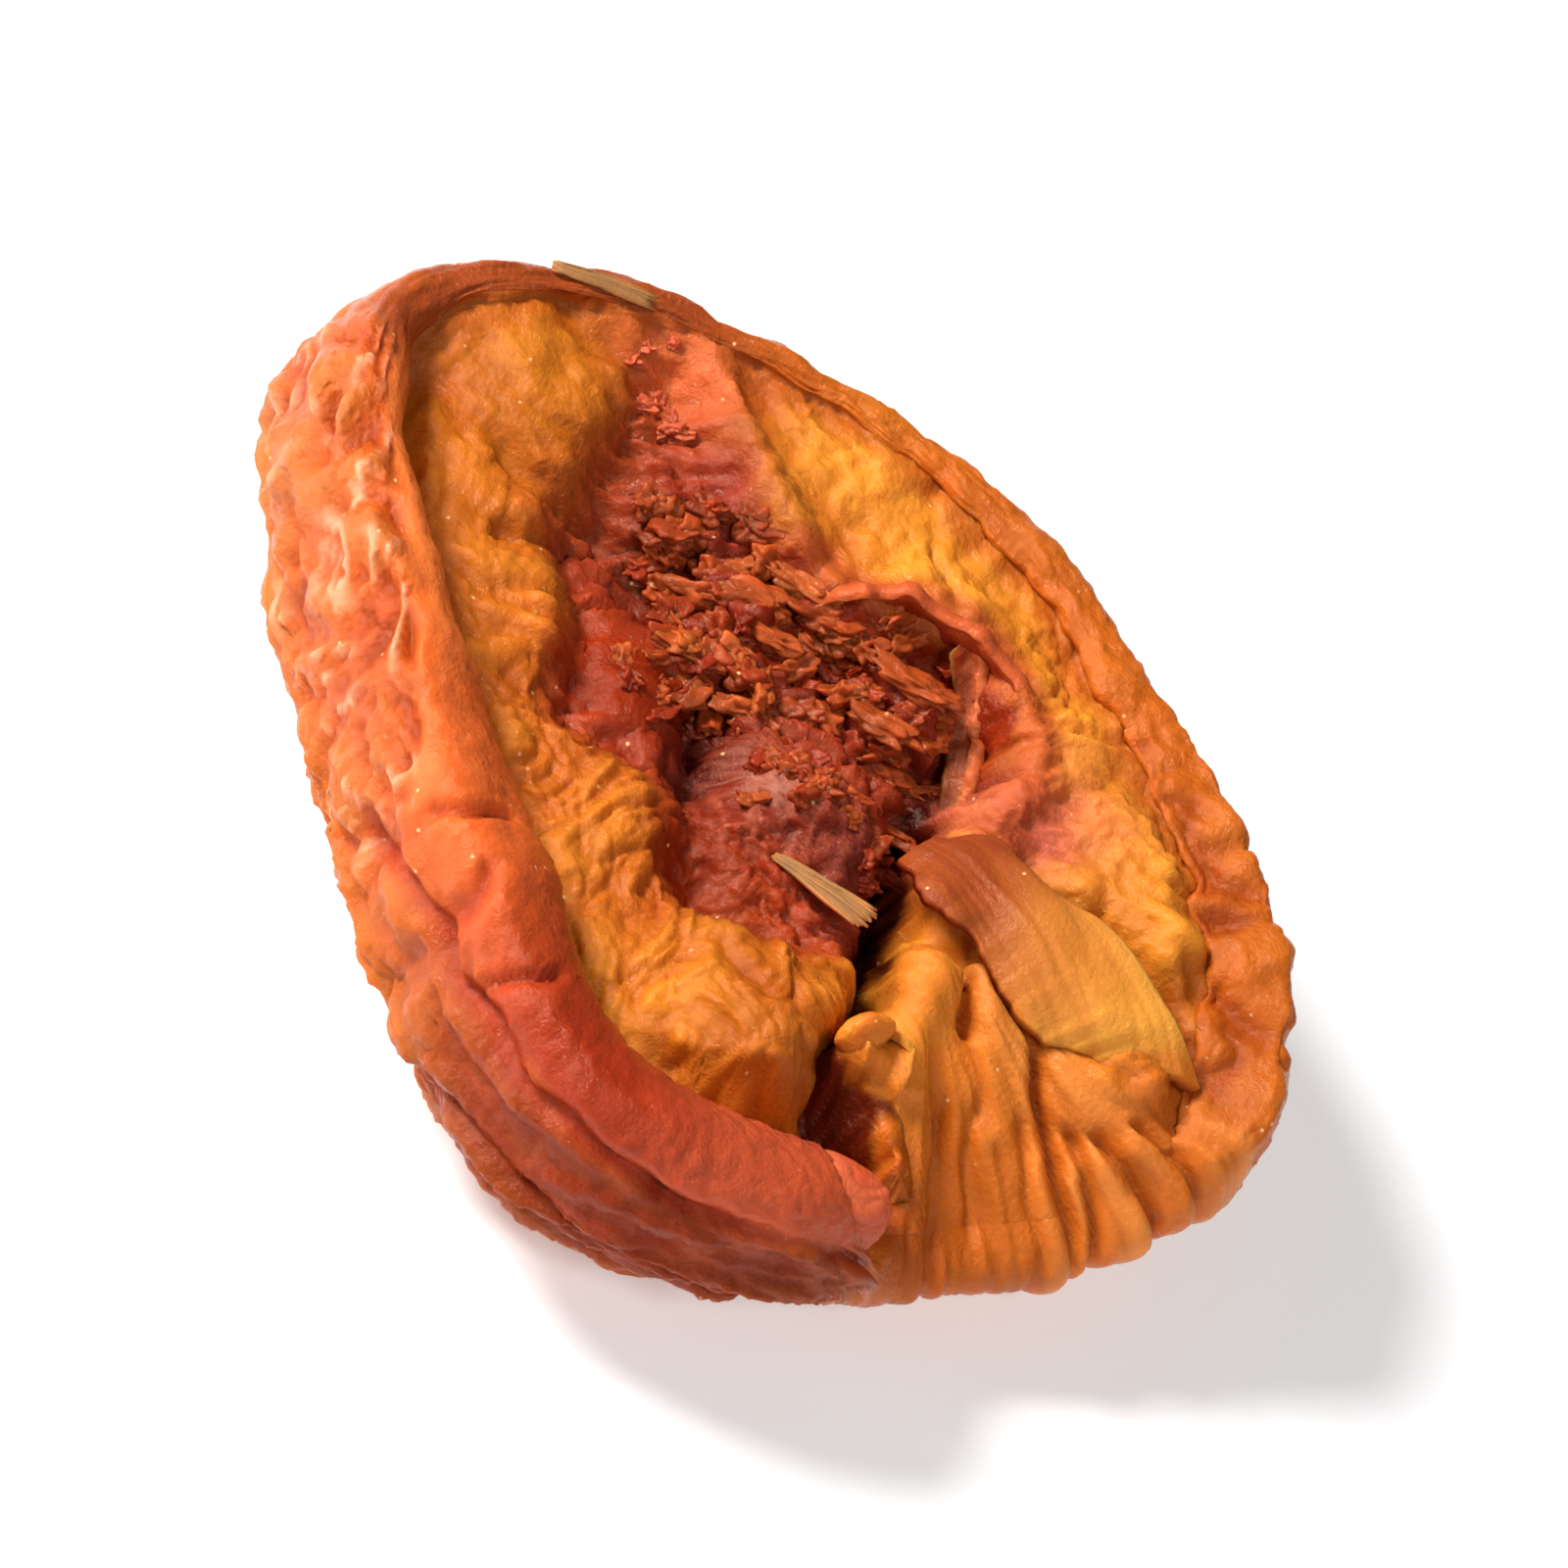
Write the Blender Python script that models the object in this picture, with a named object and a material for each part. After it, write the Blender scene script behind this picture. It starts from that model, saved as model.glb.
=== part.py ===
"""One half of a dried peach, lying on its rounded back with the cut face up.

+X points to the stem end, +Z is up, and the half rests on the plane z = 0. Lengths below are in
millimetres; the mesh is scaled to metres once, when it is made.
"""

import math

import bmesh
import bpy
import numpy as np
from mathutils import noise

MM = 0.001

# Overall build of the half
RIM_HEIGHT = 15.0  # cut plane above the surface that the half rests on
BELLY_HEIGHT = 8.5  # the widest line of the rounded back, above the same surface
BELLY_DROP = 2.0  # least drop from the rim's crest to that line
REST_SINK = 0.5  # how much of the back's lowest part is pressed flat
CENTRE = (3.33, -0.45)  # middle of the outline, which becomes the origin
GRID = 28  # faces along each side of the ball that the body is shaped from
STEM_CROWDING = 0.35  # share by which those faces crowd towards the stem end

# The rolled rim, as stations round the cut face: angle from +X in degrees, then distance of the crest
# from the middle, height of the crest above the cut plane, width of the roll inside and outside its
# crest, and depth of the roll
RIM = (
    (-176, 31.9, -0.5, 1.2, 2.0, 0.72),
    (-171, 31.1, 0.4, 3.2, 2.6, 3.4),
    (-165, 29.6, 1.1, 3.8, 2.7, 4.2),
    (-150, 24.0, 1.3, 4.4, 2.7, 4.4),
    (-135, 20.7, 1.2, 4.8, 2.5, 4.6),
    (-115, 19.1, 1.3, 5.3, 2.3, 5.0),
    (-90, 19.4, 1.4, 5.4, 2.5, 5.0),
    (-60, 22.9, 0.5, 5.1, 3.0, 5.0),
    (-40, 23.2, -1.0, 5.2, 3.0, 4.8),
    (-23, 22.5, -2.6, 4.4, 2.7, 4.2),
    (-18, 21.8, -7.8, 0.5, 2.4, 0.5),
    (0, 22.2, -8.0, 0.4, 2.4, 0.4),
    (10, 24.5, -7.0, 0.4, 2.4, 0.4),
    (19, 26.6, -4.8, 0.5, 2.2, 0.5),
    (28, 29.0, -2.2, 3.2, 1.2, 1.0),
    (45, 27.1, 0.0, 3.8, 1.0, 1.1),
    (65, 23.9, 0.3, 3.0, 1.1, 1.0),
    (86, 22.2, 0.0, 1.6, 1.3, 0.9),
    (115, 23.6, 0.1, 1.2, 1.4, 0.85),
    (146, 26.6, -0.2, 1.2, 1.5, 0.75),
    (162, 29.8, 0.1, 1.2, 1.7, 0.72),
    (176, 31.6, 0.0, 1.2, 2.0, 0.72),
)
RIM_BLUR = 3.0  # degrees over which neighbouring stations run into each other
TUCK = math.radians(118)  # how far the roll turns over before it meets the flesh
OPEN_DEPTH = (0.5, 0.9)  # a roll shallower than this is no roll: there the skin runs straight over
OPEN_RUN, OPEN_FALL = 1.5, 0.9  # length and fall of that last stretch of skin
OPEN_LEAD = math.radians(35)  # its slope, carried on over the edge

# Shares of the way from the middle of the cut face to the middle of the back
FLESH_END, CREST_AT, BELLY_AT = 0.40, 0.50, 0.61

# The cut flesh
FLESH_LEVEL = -2.9  # height at the middle, from the cut plane
FLESH_LEAN = 0.075  # rise towards +Y
FLESH_BLEND = 3.0  # distance from the rim's crease over which the flesh takes its own height

# Rounded lobes of flesh: place, reach along and across, turn in degrees, height
LOBES = (
    ((-24.4, 2.0), (3.8, 4.2), 20, 0.9),  # behind the tip
    ((10.9, -7.9), (3.9, 2.9), -20, 2.2),  # beside the cleft
    ((16.6, -6.4), (2.6, 1.7), 0, -2.6),  # hollow under the head of the fan
    ((9.6, 15.6), (5.0, 2.4), -15, 1.0),  # beyond the flap
    ((15.2, 15.6), (3.2, 1.8), -40, 1.1),
    ((-9.0, 16.0), (9.0, 2.4), 8, 0.5),  # the long strip beyond the pit
    ((-14.0, -5.4), (4.0, 2.0), 35, 0.4),
)

# Where the stone lay: the edge of the torn cavity, and how far its floor lies below the flesh
PIT_EDGE = (
    (-26.2, 10.2), (-24.0, 11.9), (-21.0, 11.4), (-17.6, 10.4), (-13.6, 9.9), (-8.6, 10.4),
    (-6.0, 13.4),
    (-3.0, 15.4), (1.0, 15.2), (4.0, 13.5), (5.8, 8.0), (7.8, 4.4), (9.0, 1.4), (8.4, -2.0),
    (6.2, -4.9),
    (3.6, -7.2), (1.2, -6.8), (-1.4, -5.6), (-4.2, -4.9), (-6.6, -6.2), (-9.0, -7.4), (-11.2, -6.4),
    (-13.0, -4.2), (-15.0, -3.0), (-18.8, -1.4), (-20.0, 1.4), (-22.6, 4.6), (-24.8, 8.0),
)
PIT_DEPTH = 2.6
PIT_SLOPE = 3.2  # width of the cavity's sloping side
TORN = (4.6, 3.2, 0.7)  # torn ridges on its floor: length, spacing, height

# Pockets and torn heaps inside the cavity: place, reach, turn, height
PIT_FORMS = (
    ((-13.7, 4.0), (1.7, 1.3), 20, -2.2),
    ((-5.2, 0.9), (2.9, 0.9), -42, -3.0),
    ((-5.6, 9.4), (1.4, 1.0), 35, -1.8),
    ((2.0, -5.0), (2.0, 1.4), 0, -0.8),
    ((-3.6, 14.4), (2.2, 1.0), 20, -2.0),
    ((1.3, 11.6), (1.0, 2.2), -30, -2.6),
    ((5.6, 5.2), (1.2, 0.8), -60, -1.2),
    ((-9.6, -1.4), (1.9, 1.7), 10, 1.4),
    ((-14.6, 7.2), (2.6, 1.4), 0, 0.8),
    ((-8.9, 6.4), (2.6, 1.8), 40, 1.4),
    ((-2.6, 10.9), (2.2, 1.3), 10, 2.0),
    ((0.6, 2.6), (3.2, 2.5), 30, 2.8),
    ((-1.2, -3.4), (2.0, 1.1), 10, 1.2),
    ((-20.6, 8.2), (4.2, 2.2), -15, 1.7),
)

# The torn lip on the far side of the pit, in two runs
UPPER_LIP = ((-25.8, 11.8), (-23.2, 11.9), (-20.4, 11.5), (-17.9, 10.8), (-14.1, 10.4), (-10.1, 10.4))
LIP = (
    (-10.6, 10.3), (-7.2, 11.7), (-5.5, 14.2), (-3.1, 15.5), (0.1, 15.4), (2.8, 14.2), (4.7, 12.0),
    (5.5, 9.6),
)

# Ridges and creases: points along it, half-width, height (below 0 for a crease), and share of its
# length over which each end fades out
RIDGES = (
    (UPPER_LIP, 0.9, 1.2, 0.12),
    (LIP, 1.1, 2.4, 0.14),
    # folds behind the tip
    (((-29.6, 6.7), (-27.6, 6.3), (-25.8, 6.9), (-23.6, 8.4)), 0.6, -1.0, 0.2),
    (((-24.6, -1.2), (-21.6, -0.6), (-19.8, 0.6), (-18.3, 2.3), (-15.6, 4.6)), 0.5, -1.2, 0.2),
    (((-19.6, -4.6), (-18.4, -2.4), (-17.4, 0.2), (-16.4, 3.4)), 0.45, -1.0, 0.2),
    # the seam between the flap and the lobe beyond it
    (
        (
            (7.0, 11.0), (9.4, 10.7), (11.6, 11.3), (14.0, 12.5),
            (16.0, 13.0), (18.0, 13.1), (20.4, 13.1), (22.6, 13.1),
        ),
        0.8, -1.6, 0.15,
    ),
    # the cleft where the stem sat, and the ditch that runs on from it to the rim
    (
        (
            (2.4, 9.6), (4.2, 6.9), (7.0, 4.2), (9.0, 1.4),
            (10.7, -0.3), (12.3, -1.9), (12.9, -3.0),
        ),
        0.9, -4.4, 0.1,
    ),
    (
        (
            (13.8, -6.2), (15.2, -6.1), (16.6, -5.5), (18.0, -5.2), (19.6, -5.5), (21.2, -7.0),
        ),
        1.0, -3.0, 0.12,
    ),
)

# The gathered skin of the stem hollow: it fans out from the cleft and down to the rim
FAN_EDGE = (
    (9.0, 2.9), (10.4, 1.1), (12.0, -0.5), (13.1, -2.0), (12.8, -3.4), (13.0, -4.8), (14.1, -5.5),
    (15.2, -5.0),
    (16.4, -4.2), (17.8, -3.9), (19.2, -3.9), (20.6, -4.7), (22.0, -6.6), (27.0, -10.0), (33.0, 4.0),
    (33.0, 15.0),
    (26.5, 13.8), (22.6, 11.4), (20.0, 8.0), (17.0, 7.0), (13.0, 5.6),
)
FAN_CENTRE = (8.0, 1.6)
FAN_TOP = -1.9  # height by the cleft
FAN_START = 4.0  # distance from the fan's centre at which it starts to run down to the rim
PLEATS_PER_DEGREE = 0.1
PLEAT_HEIGHT = 1.1
KNOB = ((14.1, -4.3), (0.85, 0.75), 50, 1.5)  # the small bulge at the head of the fan

# The flap of flesh that lies across the fan: its free edge and its far edge, with heights
FLAP_FREE_EDGE = (
    (5.6, 4.6, -2.0), (8.0, 3.5, -1.0), (9.9, 3.8, -0.6), (11.6, 4.5, -0.6), (13.2, 4.5, -0.8),
    (14.7, 4.3, -1.0), (16.2, 4.8, -1.4), (18.0, 6.4, -1.8), (20.4, 9.2, -2.6),
)
FLAP_FAR_EDGE = (
    (5.3, 7.6, -2.0), (6.9, 9.4, -0.7), (9.3, 9.1, 0.1), (11.5, 9.5, 0.4), (14.0, 10.9, 0.5),
    (15.8, 11.3, 0.5), (17.7, 11.5, 0.2), (19.8, 11.8, -0.5), (22.4, 12.4, -2.6),
)
FLAP_THICKNESS = (0.7, 2.6)  # at the free edge, and at the far edge, where it grows from the flesh
FLAP_ARCH = 0.7
FLAP_GRID = (16, 6)

# The end of the thick roll, which curls in as a round bulb: its middle, half-axes and turn
ROLL_END = ((19.2, -8.9, -5.2), (3.2, 2.7, 2.7), 69)
# Torn flakes of flesh standing in the pit
FLAKES = 16
FLAKE_SEED = 17
FLAKE_SIZE = (2.8, 2.3, 0.55)  # length, width and thickness
POCKET_LEVEL = -6.0  # no flake grows below this height, so that the pockets stay open

# Pale woody splinters: the two ends, with heights, then width and thickness
SPLINTERS = (
    ((-29.9, 5.8, 0.7), (-26.0, 9.8, 0.8), 1.2, 0.5),
    ((1.4, -1.1, -4.2), (6.9, 2.3, -2.6), 1.2, 0.5),
)

# Puckers of the skin: width along and across the rim, height
PUCKERS = (9.0, 3.4, 0.75)
PEBBLES = (4.6, 4.0, 0.7)


def smoothstep(low, high, value):
    t = np.clip((value - low) / (high - low), 0.0, 1.0)
    return t * t * (3.0 - 2.0 * t)


def round_the_rim(column, angle):
    """A column of RIM at each angle, in radians, run smoothly from station to station."""
    table = np.array(RIM, float)
    steps = np.arange(720) * 0.5
    values = np.interp(steps, table[:, 0] % 360.0, table[:, column], period=360.0)
    away = np.minimum(steps, 360.0 - steps)
    kernel = np.exp(-0.5 * (away / RIM_BLUR) ** 2)
    kernel /= kernel.sum()
    blurred = np.fft.irfft(np.fft.rfft(values) * np.fft.rfft(kernel), n=len(steps))
    return np.interp(np.degrees(angle) % 360.0, steps, blurred, period=360.0)


def openness(angle):
    """1 where the rim has no roll, at the stem hollow, and 0 where it has."""
    return 1.0 - smoothstep(*OPEN_DEPTH, round_the_rim(5, angle))


def crease(angle):
    """Distance and height of the line where the rim meets the cut face."""
    crest_r, crest_z, inner, _, deep = (round_the_rim(c, angle) for c in range(1, 6))
    bare = openness(angle)
    rolled_r = crest_r - inner * math.sin(TUCK)
    rolled_z = crest_z - deep + deep * math.cos(TUCK)
    r = rolled_r + (crest_r - OPEN_RUN - rolled_r) * bare
    return r, rolled_z + (crest_z + OPEN_FALL - rolled_z) * bare


def smooth_path(points, per_leg=6):
    """A Catmull-Rom curve through points, as rows of coordinates."""
    p = np.array(points, float)
    p = np.vstack([2 * p[0] - p[1], p, 2 * p[-1] - p[-2]])
    t = np.linspace(0.0, 1.0, per_leg, endpoint=False)[:, None]
    legs = [
        0.5 * (2 * b + (c - a) * t + (2 * a - 5 * b + 4 * c - d) * t**2 + (3 * b - a - 3 * c + d) * t**3)
        for a, b, c, d in zip(p[:-3], p[1:-2], p[2:-1], p[3:])
    ]
    return np.vstack([*legs, p[-2:-1]])


def beside_path(x, y, points):
    """Distance from a path, share of the way along it, and which side: +1 is to its left."""
    path = smooth_path([q[:2] for q in points])
    best = np.full(x.shape, np.inf)
    along = np.zeros(x.shape)
    side = np.ones(x.shape)
    for n, (a, b) in enumerate(zip(path[:-1], path[1:])):
        ux, uy = b - a
        share = np.clip(((x - a[0]) * ux + (y - a[1]) * uy) / (ux * ux + uy * uy), 0.0, 1.0)
        dx, dy = x - a[0] - share * ux, y - a[1] - share * uy
        away = np.hypot(dx, dy)
        near = away < best
        best = np.where(near, away, best)
        along = np.where(near, (n + share) / (len(path) - 1), along)
        side = np.where(near, np.sign(ux * dy - uy * dx), side)
    return best, along, side


def mound(x, y, at, reach, turn=0.0):
    """1 at a point, falling away as a bell: reach is along and across, turn in degrees."""
    c, s = math.cos(math.radians(turn)), math.sin(math.radians(turn))
    u, v = (x - at[0]) * c + (y - at[1]) * s, (y - at[1]) * c - (x - at[0]) * s
    return np.exp(-0.5 * ((u / reach[0]) ** 2 + (v / reach[1]) ** 2))


def inside(x, y, outline, slope):
    """1 well within a closed outline and 0 outside, rising over slope as it goes in."""
    loop = np.array(outline, float)
    path = smooth_path(np.vstack([loop[-1:], loop, loop[:2]]))[6:-6]
    away = beside_path(x, y, np.vstack([loop, loop[:1]]))[0]
    crossings = np.zeros(x.shape, int)
    for (ax, ay), (bx, by) in zip(path, np.roll(path, -1, axis=0)):
        spans = (ay > y) != (by > y)
        if by != ay:
            crossings += spans & (x < ax + (y - ay) * (bx - ax) / (by - ay))
    signed = np.where(crossings % 2 == 1, away, -away)
    return smoothstep(-0.25 * slope, 0.75 * slope, signed)


def from_fan_centre(x, y):
    """Distance and bearing, in degrees, from the point that the pleats spread from."""
    u, v = x - FAN_CENTRE[0], y - FAN_CENTRE[1]
    return np.hypot(u, v), np.degrees(np.arctan2(v, u))


def pleats(x, y):
    """Rise and fall of the pleats of the fan."""
    away, bearing = from_fan_centre(x, y)
    bend = 2.5 * np.sin(0.45 * away + 0.08 * bearing) + 2.0 * np.sin(0.16 * bearing + 1.0)
    wave = np.abs(np.sin(math.pi * PLEATS_PER_DEGREE * (bearing + bend)))
    return PLEAT_HEIGHT * smoothstep(3.0, 9.0, away) * (wave - 0.6)


def torn(x, y):
    """Ragged ridges of the pit floor."""
    long, across, height = TORN
    out = np.zeros(len(x))
    for n, (a, b) in enumerate(zip(x, y)):
        coarse = abs(noise.noise((a / long, b / across, 0.0)))
        fine = abs(noise.noise((2.1 * a / long, 2.3 * b / across, 5.0)))
        out[n] = 0.65 - 2.2 * coarse - 1.1 * fine
    return height * out


def flesh_height(x, y):
    """Height of the cut flesh from the cut plane, with its pit cavity, lobes and folds."""
    z = FLESH_LEVEL + FLESH_LEAN * y
    for at, reach, turn, height in LOBES:
        z = z + height * mound(x, y, at, reach, turn)
    pit = inside(x, y, PIT_EDGE, PIT_SLOPE)
    z = z - PIT_DEPTH * pit
    for at, reach, turn, height in PIT_FORMS:
        z = z + height * mound(x, y, at, reach, turn)
    z = z + torn(x, y) * pit
    fan = inside(x, y, FAN_EDGE, 1.4)
    edge_r, edge_z = crease(np.arctan2(y, x))
    away = np.clip(from_fan_centre(x, y)[0] - FAN_START, 0.01, None)
    down = away / (away + np.clip(edge_r - np.hypot(x, y), 0.0, None))
    gathered = FAN_TOP + (edge_z - FAN_TOP) * down**1.3
    z = z + (gathered - z) * fan
    at, reach, turn, height = KNOB
    z = z + height * mound(x, y, at, reach, turn)
    for points, half_width, height, fade in RIDGES:
        away, along, _ = beside_path(x, y, points)
        ends = smoothstep(0.0, fade, along) * smoothstep(0.0, fade, 1.0 - along)
        z = z + height * ends * np.exp(-0.5 * (away / half_width) ** 2)
    return z


def billow(points, warp=0.7):
    """Rounded bumps with sharp valleys between them, from about -0.5 to 1, one for each row."""
    out = np.empty(len(points))
    for n, (a, b, c) in enumerate(points.tolist()):
        push = [warp * noise.noise((0.5 * a + k, 0.5 * b - k, 0.5 * c)) for k in (3.1, 17.7, 31.3)]
        out[n] = abs(noise.noise((a + push[0], b + push[1], c + push[2])))
    return out * 3.0 - 0.5


def skin_pucker(points, direction):
    """How far the wrinkled skin stands out, for points of the body and where they lie on the ball."""
    angle = np.arctan2(direction[:, 1], direction[:, 0])
    angle = angle - STEM_CROWDING * np.sin(angle)
    share = np.arccos(np.clip(direction[:, 2], -1.0, 1.0)) / math.pi
    rest = smoothstep(0.89, 0.94, share)
    skin = smoothstep(FLESH_END + 0.02, CREST_AT + 0.02, share) * (1.0 - rest)
    down = 50.0 * share  # about the distance from the middle of the flesh, over the rim and down
    x, y = points[:, 0] - CENTRE[0], points[:, 1] - CENTRE[1]
    fan = inside(x, y, FAN_EDGE, 1.4)
    folded = 1.0 - smoothstep(0.66, 0.82, share)
    long, across, height = PUCKERS
    ring = np.column_stack([np.cos(angle), np.sin(angle)]) * 22.0
    folds = billow(np.column_stack([ring / long, down / across]))
    wide, tall, rise = PEBBLES
    grains = billow(points / np.array([wide, wide, tall]) + 7.3)
    left = smoothstep(-0.6, 0.6, -np.cos(angle + math.radians(-40.0)))
    plain = height * folds * (1.0 - 0.6 * left) + rise * grains * left
    return skin * plain * (1.0 - fan) + folded * pleats(x, y) * fan


def body_points(direction):
    """Takes points of the unit ball to the surface of the half."""
    dx, dy, dz = direction.T
    angle = np.arctan2(dy, dx)
    angle = angle - STEM_CROWDING * np.sin(angle)
    share = np.arccos(np.clip(dz, -1.0, 1.0)) / math.pi
    crest_r, crest_z, inner, outside, deep = (round_the_rim(c, angle) for c in range(1, 6))
    bare = openness(angle)

    # Flesh, from the middle out to the crease under the roll
    crease_r, crease_z = crease(angle)
    r = crease_r * np.clip(share / FLESH_END, 0.0, 1.0)
    x, y = r * np.cos(angle), r * np.sin(angle)
    own = smoothstep(0.0, FLESH_BLEND, crease_r - r)
    own = own + (1.0 - own) * bare
    z = crease_z + (flesh_height(x, y) - crease_z) * own

    # The inner side of the roll, from the crease up to the crest
    step = np.clip((share - FLESH_END) / (CREST_AT - FLESH_END), 0.0, 1.0)
    turn = TUCK * (1.0 - step)
    on_roll = share > FLESH_END
    rolled_r, rolled_z = crest_r - inner * np.sin(turn), crest_z - deep + deep * np.cos(turn)
    bare_r, bare_z = crest_r - OPEN_RUN * (1.0 - step), crest_z + OPEN_FALL * (1.0 - step)
    r = np.where(on_roll, rolled_r + (bare_r - rolled_r) * bare, r)
    z = np.where(on_roll, rolled_z + (bare_z - rolled_z) * bare, z)

    # The outer side, down to the widest line
    lead = OPEN_LEAD * bare
    turn = lead + (0.5 * math.pi - lead) * np.clip((share - CREST_AT) / (BELLY_AT - CREST_AT), 0.0, 1.0)
    belly_z = np.minimum(BELLY_HEIGHT - RIM_HEIGHT, crest_z - BELLY_DROP)
    over = share > CREST_AT
    r = np.where(over, crest_r + outside * (np.sin(turn) - np.sin(lead)) / (1.0 - np.sin(lead)), r)
    z = np.where(over, belly_z + (crest_z - belly_z) * np.cos(turn) / np.cos(lead), z)

    # The rounded back
    turn = 0.5 * math.pi * np.clip((share - BELLY_AT) / (1.0 - BELLY_AT), 0.0, 1.0)
    under = share > BELLY_AT
    r = np.where(under, (crest_r + outside) * np.cos(turn) ** 0.9, r)
    z = np.where(under, belly_z - (RIM_HEIGHT + belly_z + REST_SINK) * np.sin(turn) ** 1.1, z)

    return np.column_stack([r * np.cos(angle) + CENTRE[0], r * np.sin(angle) + CENTRE[1], z + RIM_HEIGHT])


def ball(grid):
    """A ball of even four-sided faces: a cube with each face cut into grid by grid, blown up round."""
    bm = bmesh.new()
    bmesh.ops.create_cube(bm, size=2.0)
    bmesh.ops.subdivide_edges(bm, edges=bm.edges[:], cuts=grid - 1, use_grid_fill=True)
    for v in bm.verts:
        v.co = [math.tan(c * math.pi / 4) for c in v.co]
        v.co.normalize()
    return bm


def peach_half(grid=GRID):
    bm = ball(grid)
    mesh = bpy.data.meshes.new("dried_peach_half")
    bm.to_mesh(mesh)
    bm.free()
    co = np.empty(len(mesh.vertices) * 3)
    mesh.vertices.foreach_get("co", co)
    direction = co.reshape(-1, 3)
    points = body_points(direction)
    mesh.vertices.foreach_set("co", points.ravel())
    mesh.update()
    normals = np.empty(len(mesh.vertices) * 3)
    mesh.vertex_normals.foreach_get("vector", normals)
    points = points + normals.reshape(-1, 3) * skin_pucker(points, direction)[:, None]
    points[:, 2] = np.maximum(points[:, 2], 0.0)
    mesh.vertices.foreach_set("co", (points * MM).ravel())
    mesh.update()
    return linked("dried_peach_half", mesh)


def linked(name, mesh):
    mesh.shade_smooth()
    made = bpy.data.objects.new(name, mesh)
    bpy.context.scene.collection.objects.link(made)
    return made


def closed_strip(name, top, bottom):
    """A solid between two sheets of points, each rows by columns by 3, in millimetres."""
    rows, columns = top.shape[:2]
    count = rows * columns
    corners = [(r * columns + c, r * columns + c + 1, (r + 1) * columns + c + 1, (r + 1) * columns + c)
               for r in range(rows - 1) for c in range(columns - 1)]
    faces = [face[::-1] for face in corners] + [tuple(i + count for i in face) for face in corners]
    loop = list(range(columns))
    loop += [r * columns + columns - 1 for r in range(1, rows)]
    loop += [(rows - 1) * columns + c for c in range(columns - 2, -1, -1)]
    loop += [r * columns for r in range(rows - 2, 0, -1)]
    faces += [(a, b, b + count, a + count) for a, b in zip(loop, loop[1:] + loop[:1])]
    mesh = bpy.data.meshes.new(name)
    mesh.from_pydata((np.vstack([top.reshape(-1, 3), bottom.reshape(-1, 3)]) * MM).tolist(), [], faces)
    bm = bmesh.new()
    bm.from_mesh(mesh)
    bmesh.ops.recalc_face_normals(bm, faces=bm.faces)
    bm.to_mesh(mesh)
    bm.free()
    return linked(name, mesh)


def along_path(points, count):
    """Evenly spread rows along a smooth path."""
    path = smooth_path(points)
    run = np.concatenate([[0.0], np.cumsum(np.linalg.norm(np.diff(path, axis=0), axis=1))])
    at = np.linspace(0.0, run[-1], count)
    return np.column_stack([np.interp(at, run, path[:, k]) for k in range(3)])


def flap(rows=FLAP_GRID[0], columns=FLAP_GRID[1]):
    """The thin tongue of flesh that lies over the pleats."""
    free, far = along_path(FLAP_FREE_EDGE, rows), along_path(FLAP_FAR_EDGE, rows)
    across = np.linspace(0.0, 1.0, columns)[None, :, None]
    top = free[:, None] * (1.0 - across) + far[:, None] * across
    top[..., 2] += FLAP_ARCH * np.sin(math.pi * across[..., 0])
    top += np.array([CENTRE[0], CENTRE[1], RIM_HEIGHT])
    thin, thick = FLAP_THICKNESS
    bottom = top.copy()
    bottom[..., 2] -= thin + (thick - thin) * across[..., 0]
    return closed_strip("flap", top, bottom)


def flakes():
    """Small torn tongues that stand up from the pit floor."""
    picker = np.random.default_rng(FLAKE_SEED)
    length, width, thick = FLAKE_SIZE
    made = []
    while len(made) < FLAKES:
        x, y = picker.uniform(-17.0, 5.0), picker.uniform(-4.0, 14.0)
        size, turn, lean = picker.uniform(0.7, 1.2), picker.normal(20.0, 35.0), picker.uniform(20.0, 50.0)
        roll, point = picker.uniform(-0.5, 0.5), picker.uniform(0.35, 0.75)
        if inside(np.array([x]), np.array([y]), PIT_EDGE, PIT_SLOPE)[0] < 0.85:
            continue
        floor = flesh_height(np.array([x]), np.array([y]))[0] + 0.2
        if floor < POCKET_LEVEL:
            continue
        c, s = math.cos(math.radians(turn)), math.sin(math.radians(turn))
        t = np.linspace(-0.4, 1.0, 4)[:, None]
        half_width = 0.5 * width * size * (1.0 - point * np.clip(t, 0.0, 1.0) ** 1.5)
        side = np.array([[-1.0, 1.0]]) * half_width
        run = t * length * size * math.cos(math.radians(lean)) + 0.0 * side
        rise = t * length * size * math.sin(math.radians(lean)) - 0.5 * t * t + roll * side
        top = np.stack([x + run * c - side * s, y + run * s + side * c, floor + rise], axis=-1)
        top += np.array([CENTRE[0], CENTRE[1], RIM_HEIGHT])
        bottom = top - np.array([-s * 0.2, c * 0.2, thick * size])
        made.append(closed_strip("flake", top, bottom))
    return made


def splinter(start, end, width, thick):
    """A flat sliver that tapers at both ends."""
    a, b = np.array(start), np.array(end)
    side = np.array([-(b - a)[1], (b - a)[0], 0.0]) / np.linalg.norm(b - a)
    t = np.linspace(0.0, 1.0, 5)[:, None, None]
    half_width = 0.5 * width * (0.35 + 0.65 * np.sin(math.pi * t))
    top = a + (b - a) * t + side * half_width * np.array([-1.0, 1.0])[None, :, None]
    top = top + np.array([CENTRE[0], CENTRE[1], RIM_HEIGHT])
    return closed_strip("splinter", top, top - np.array([0.0, 0.0, thick]))


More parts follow.
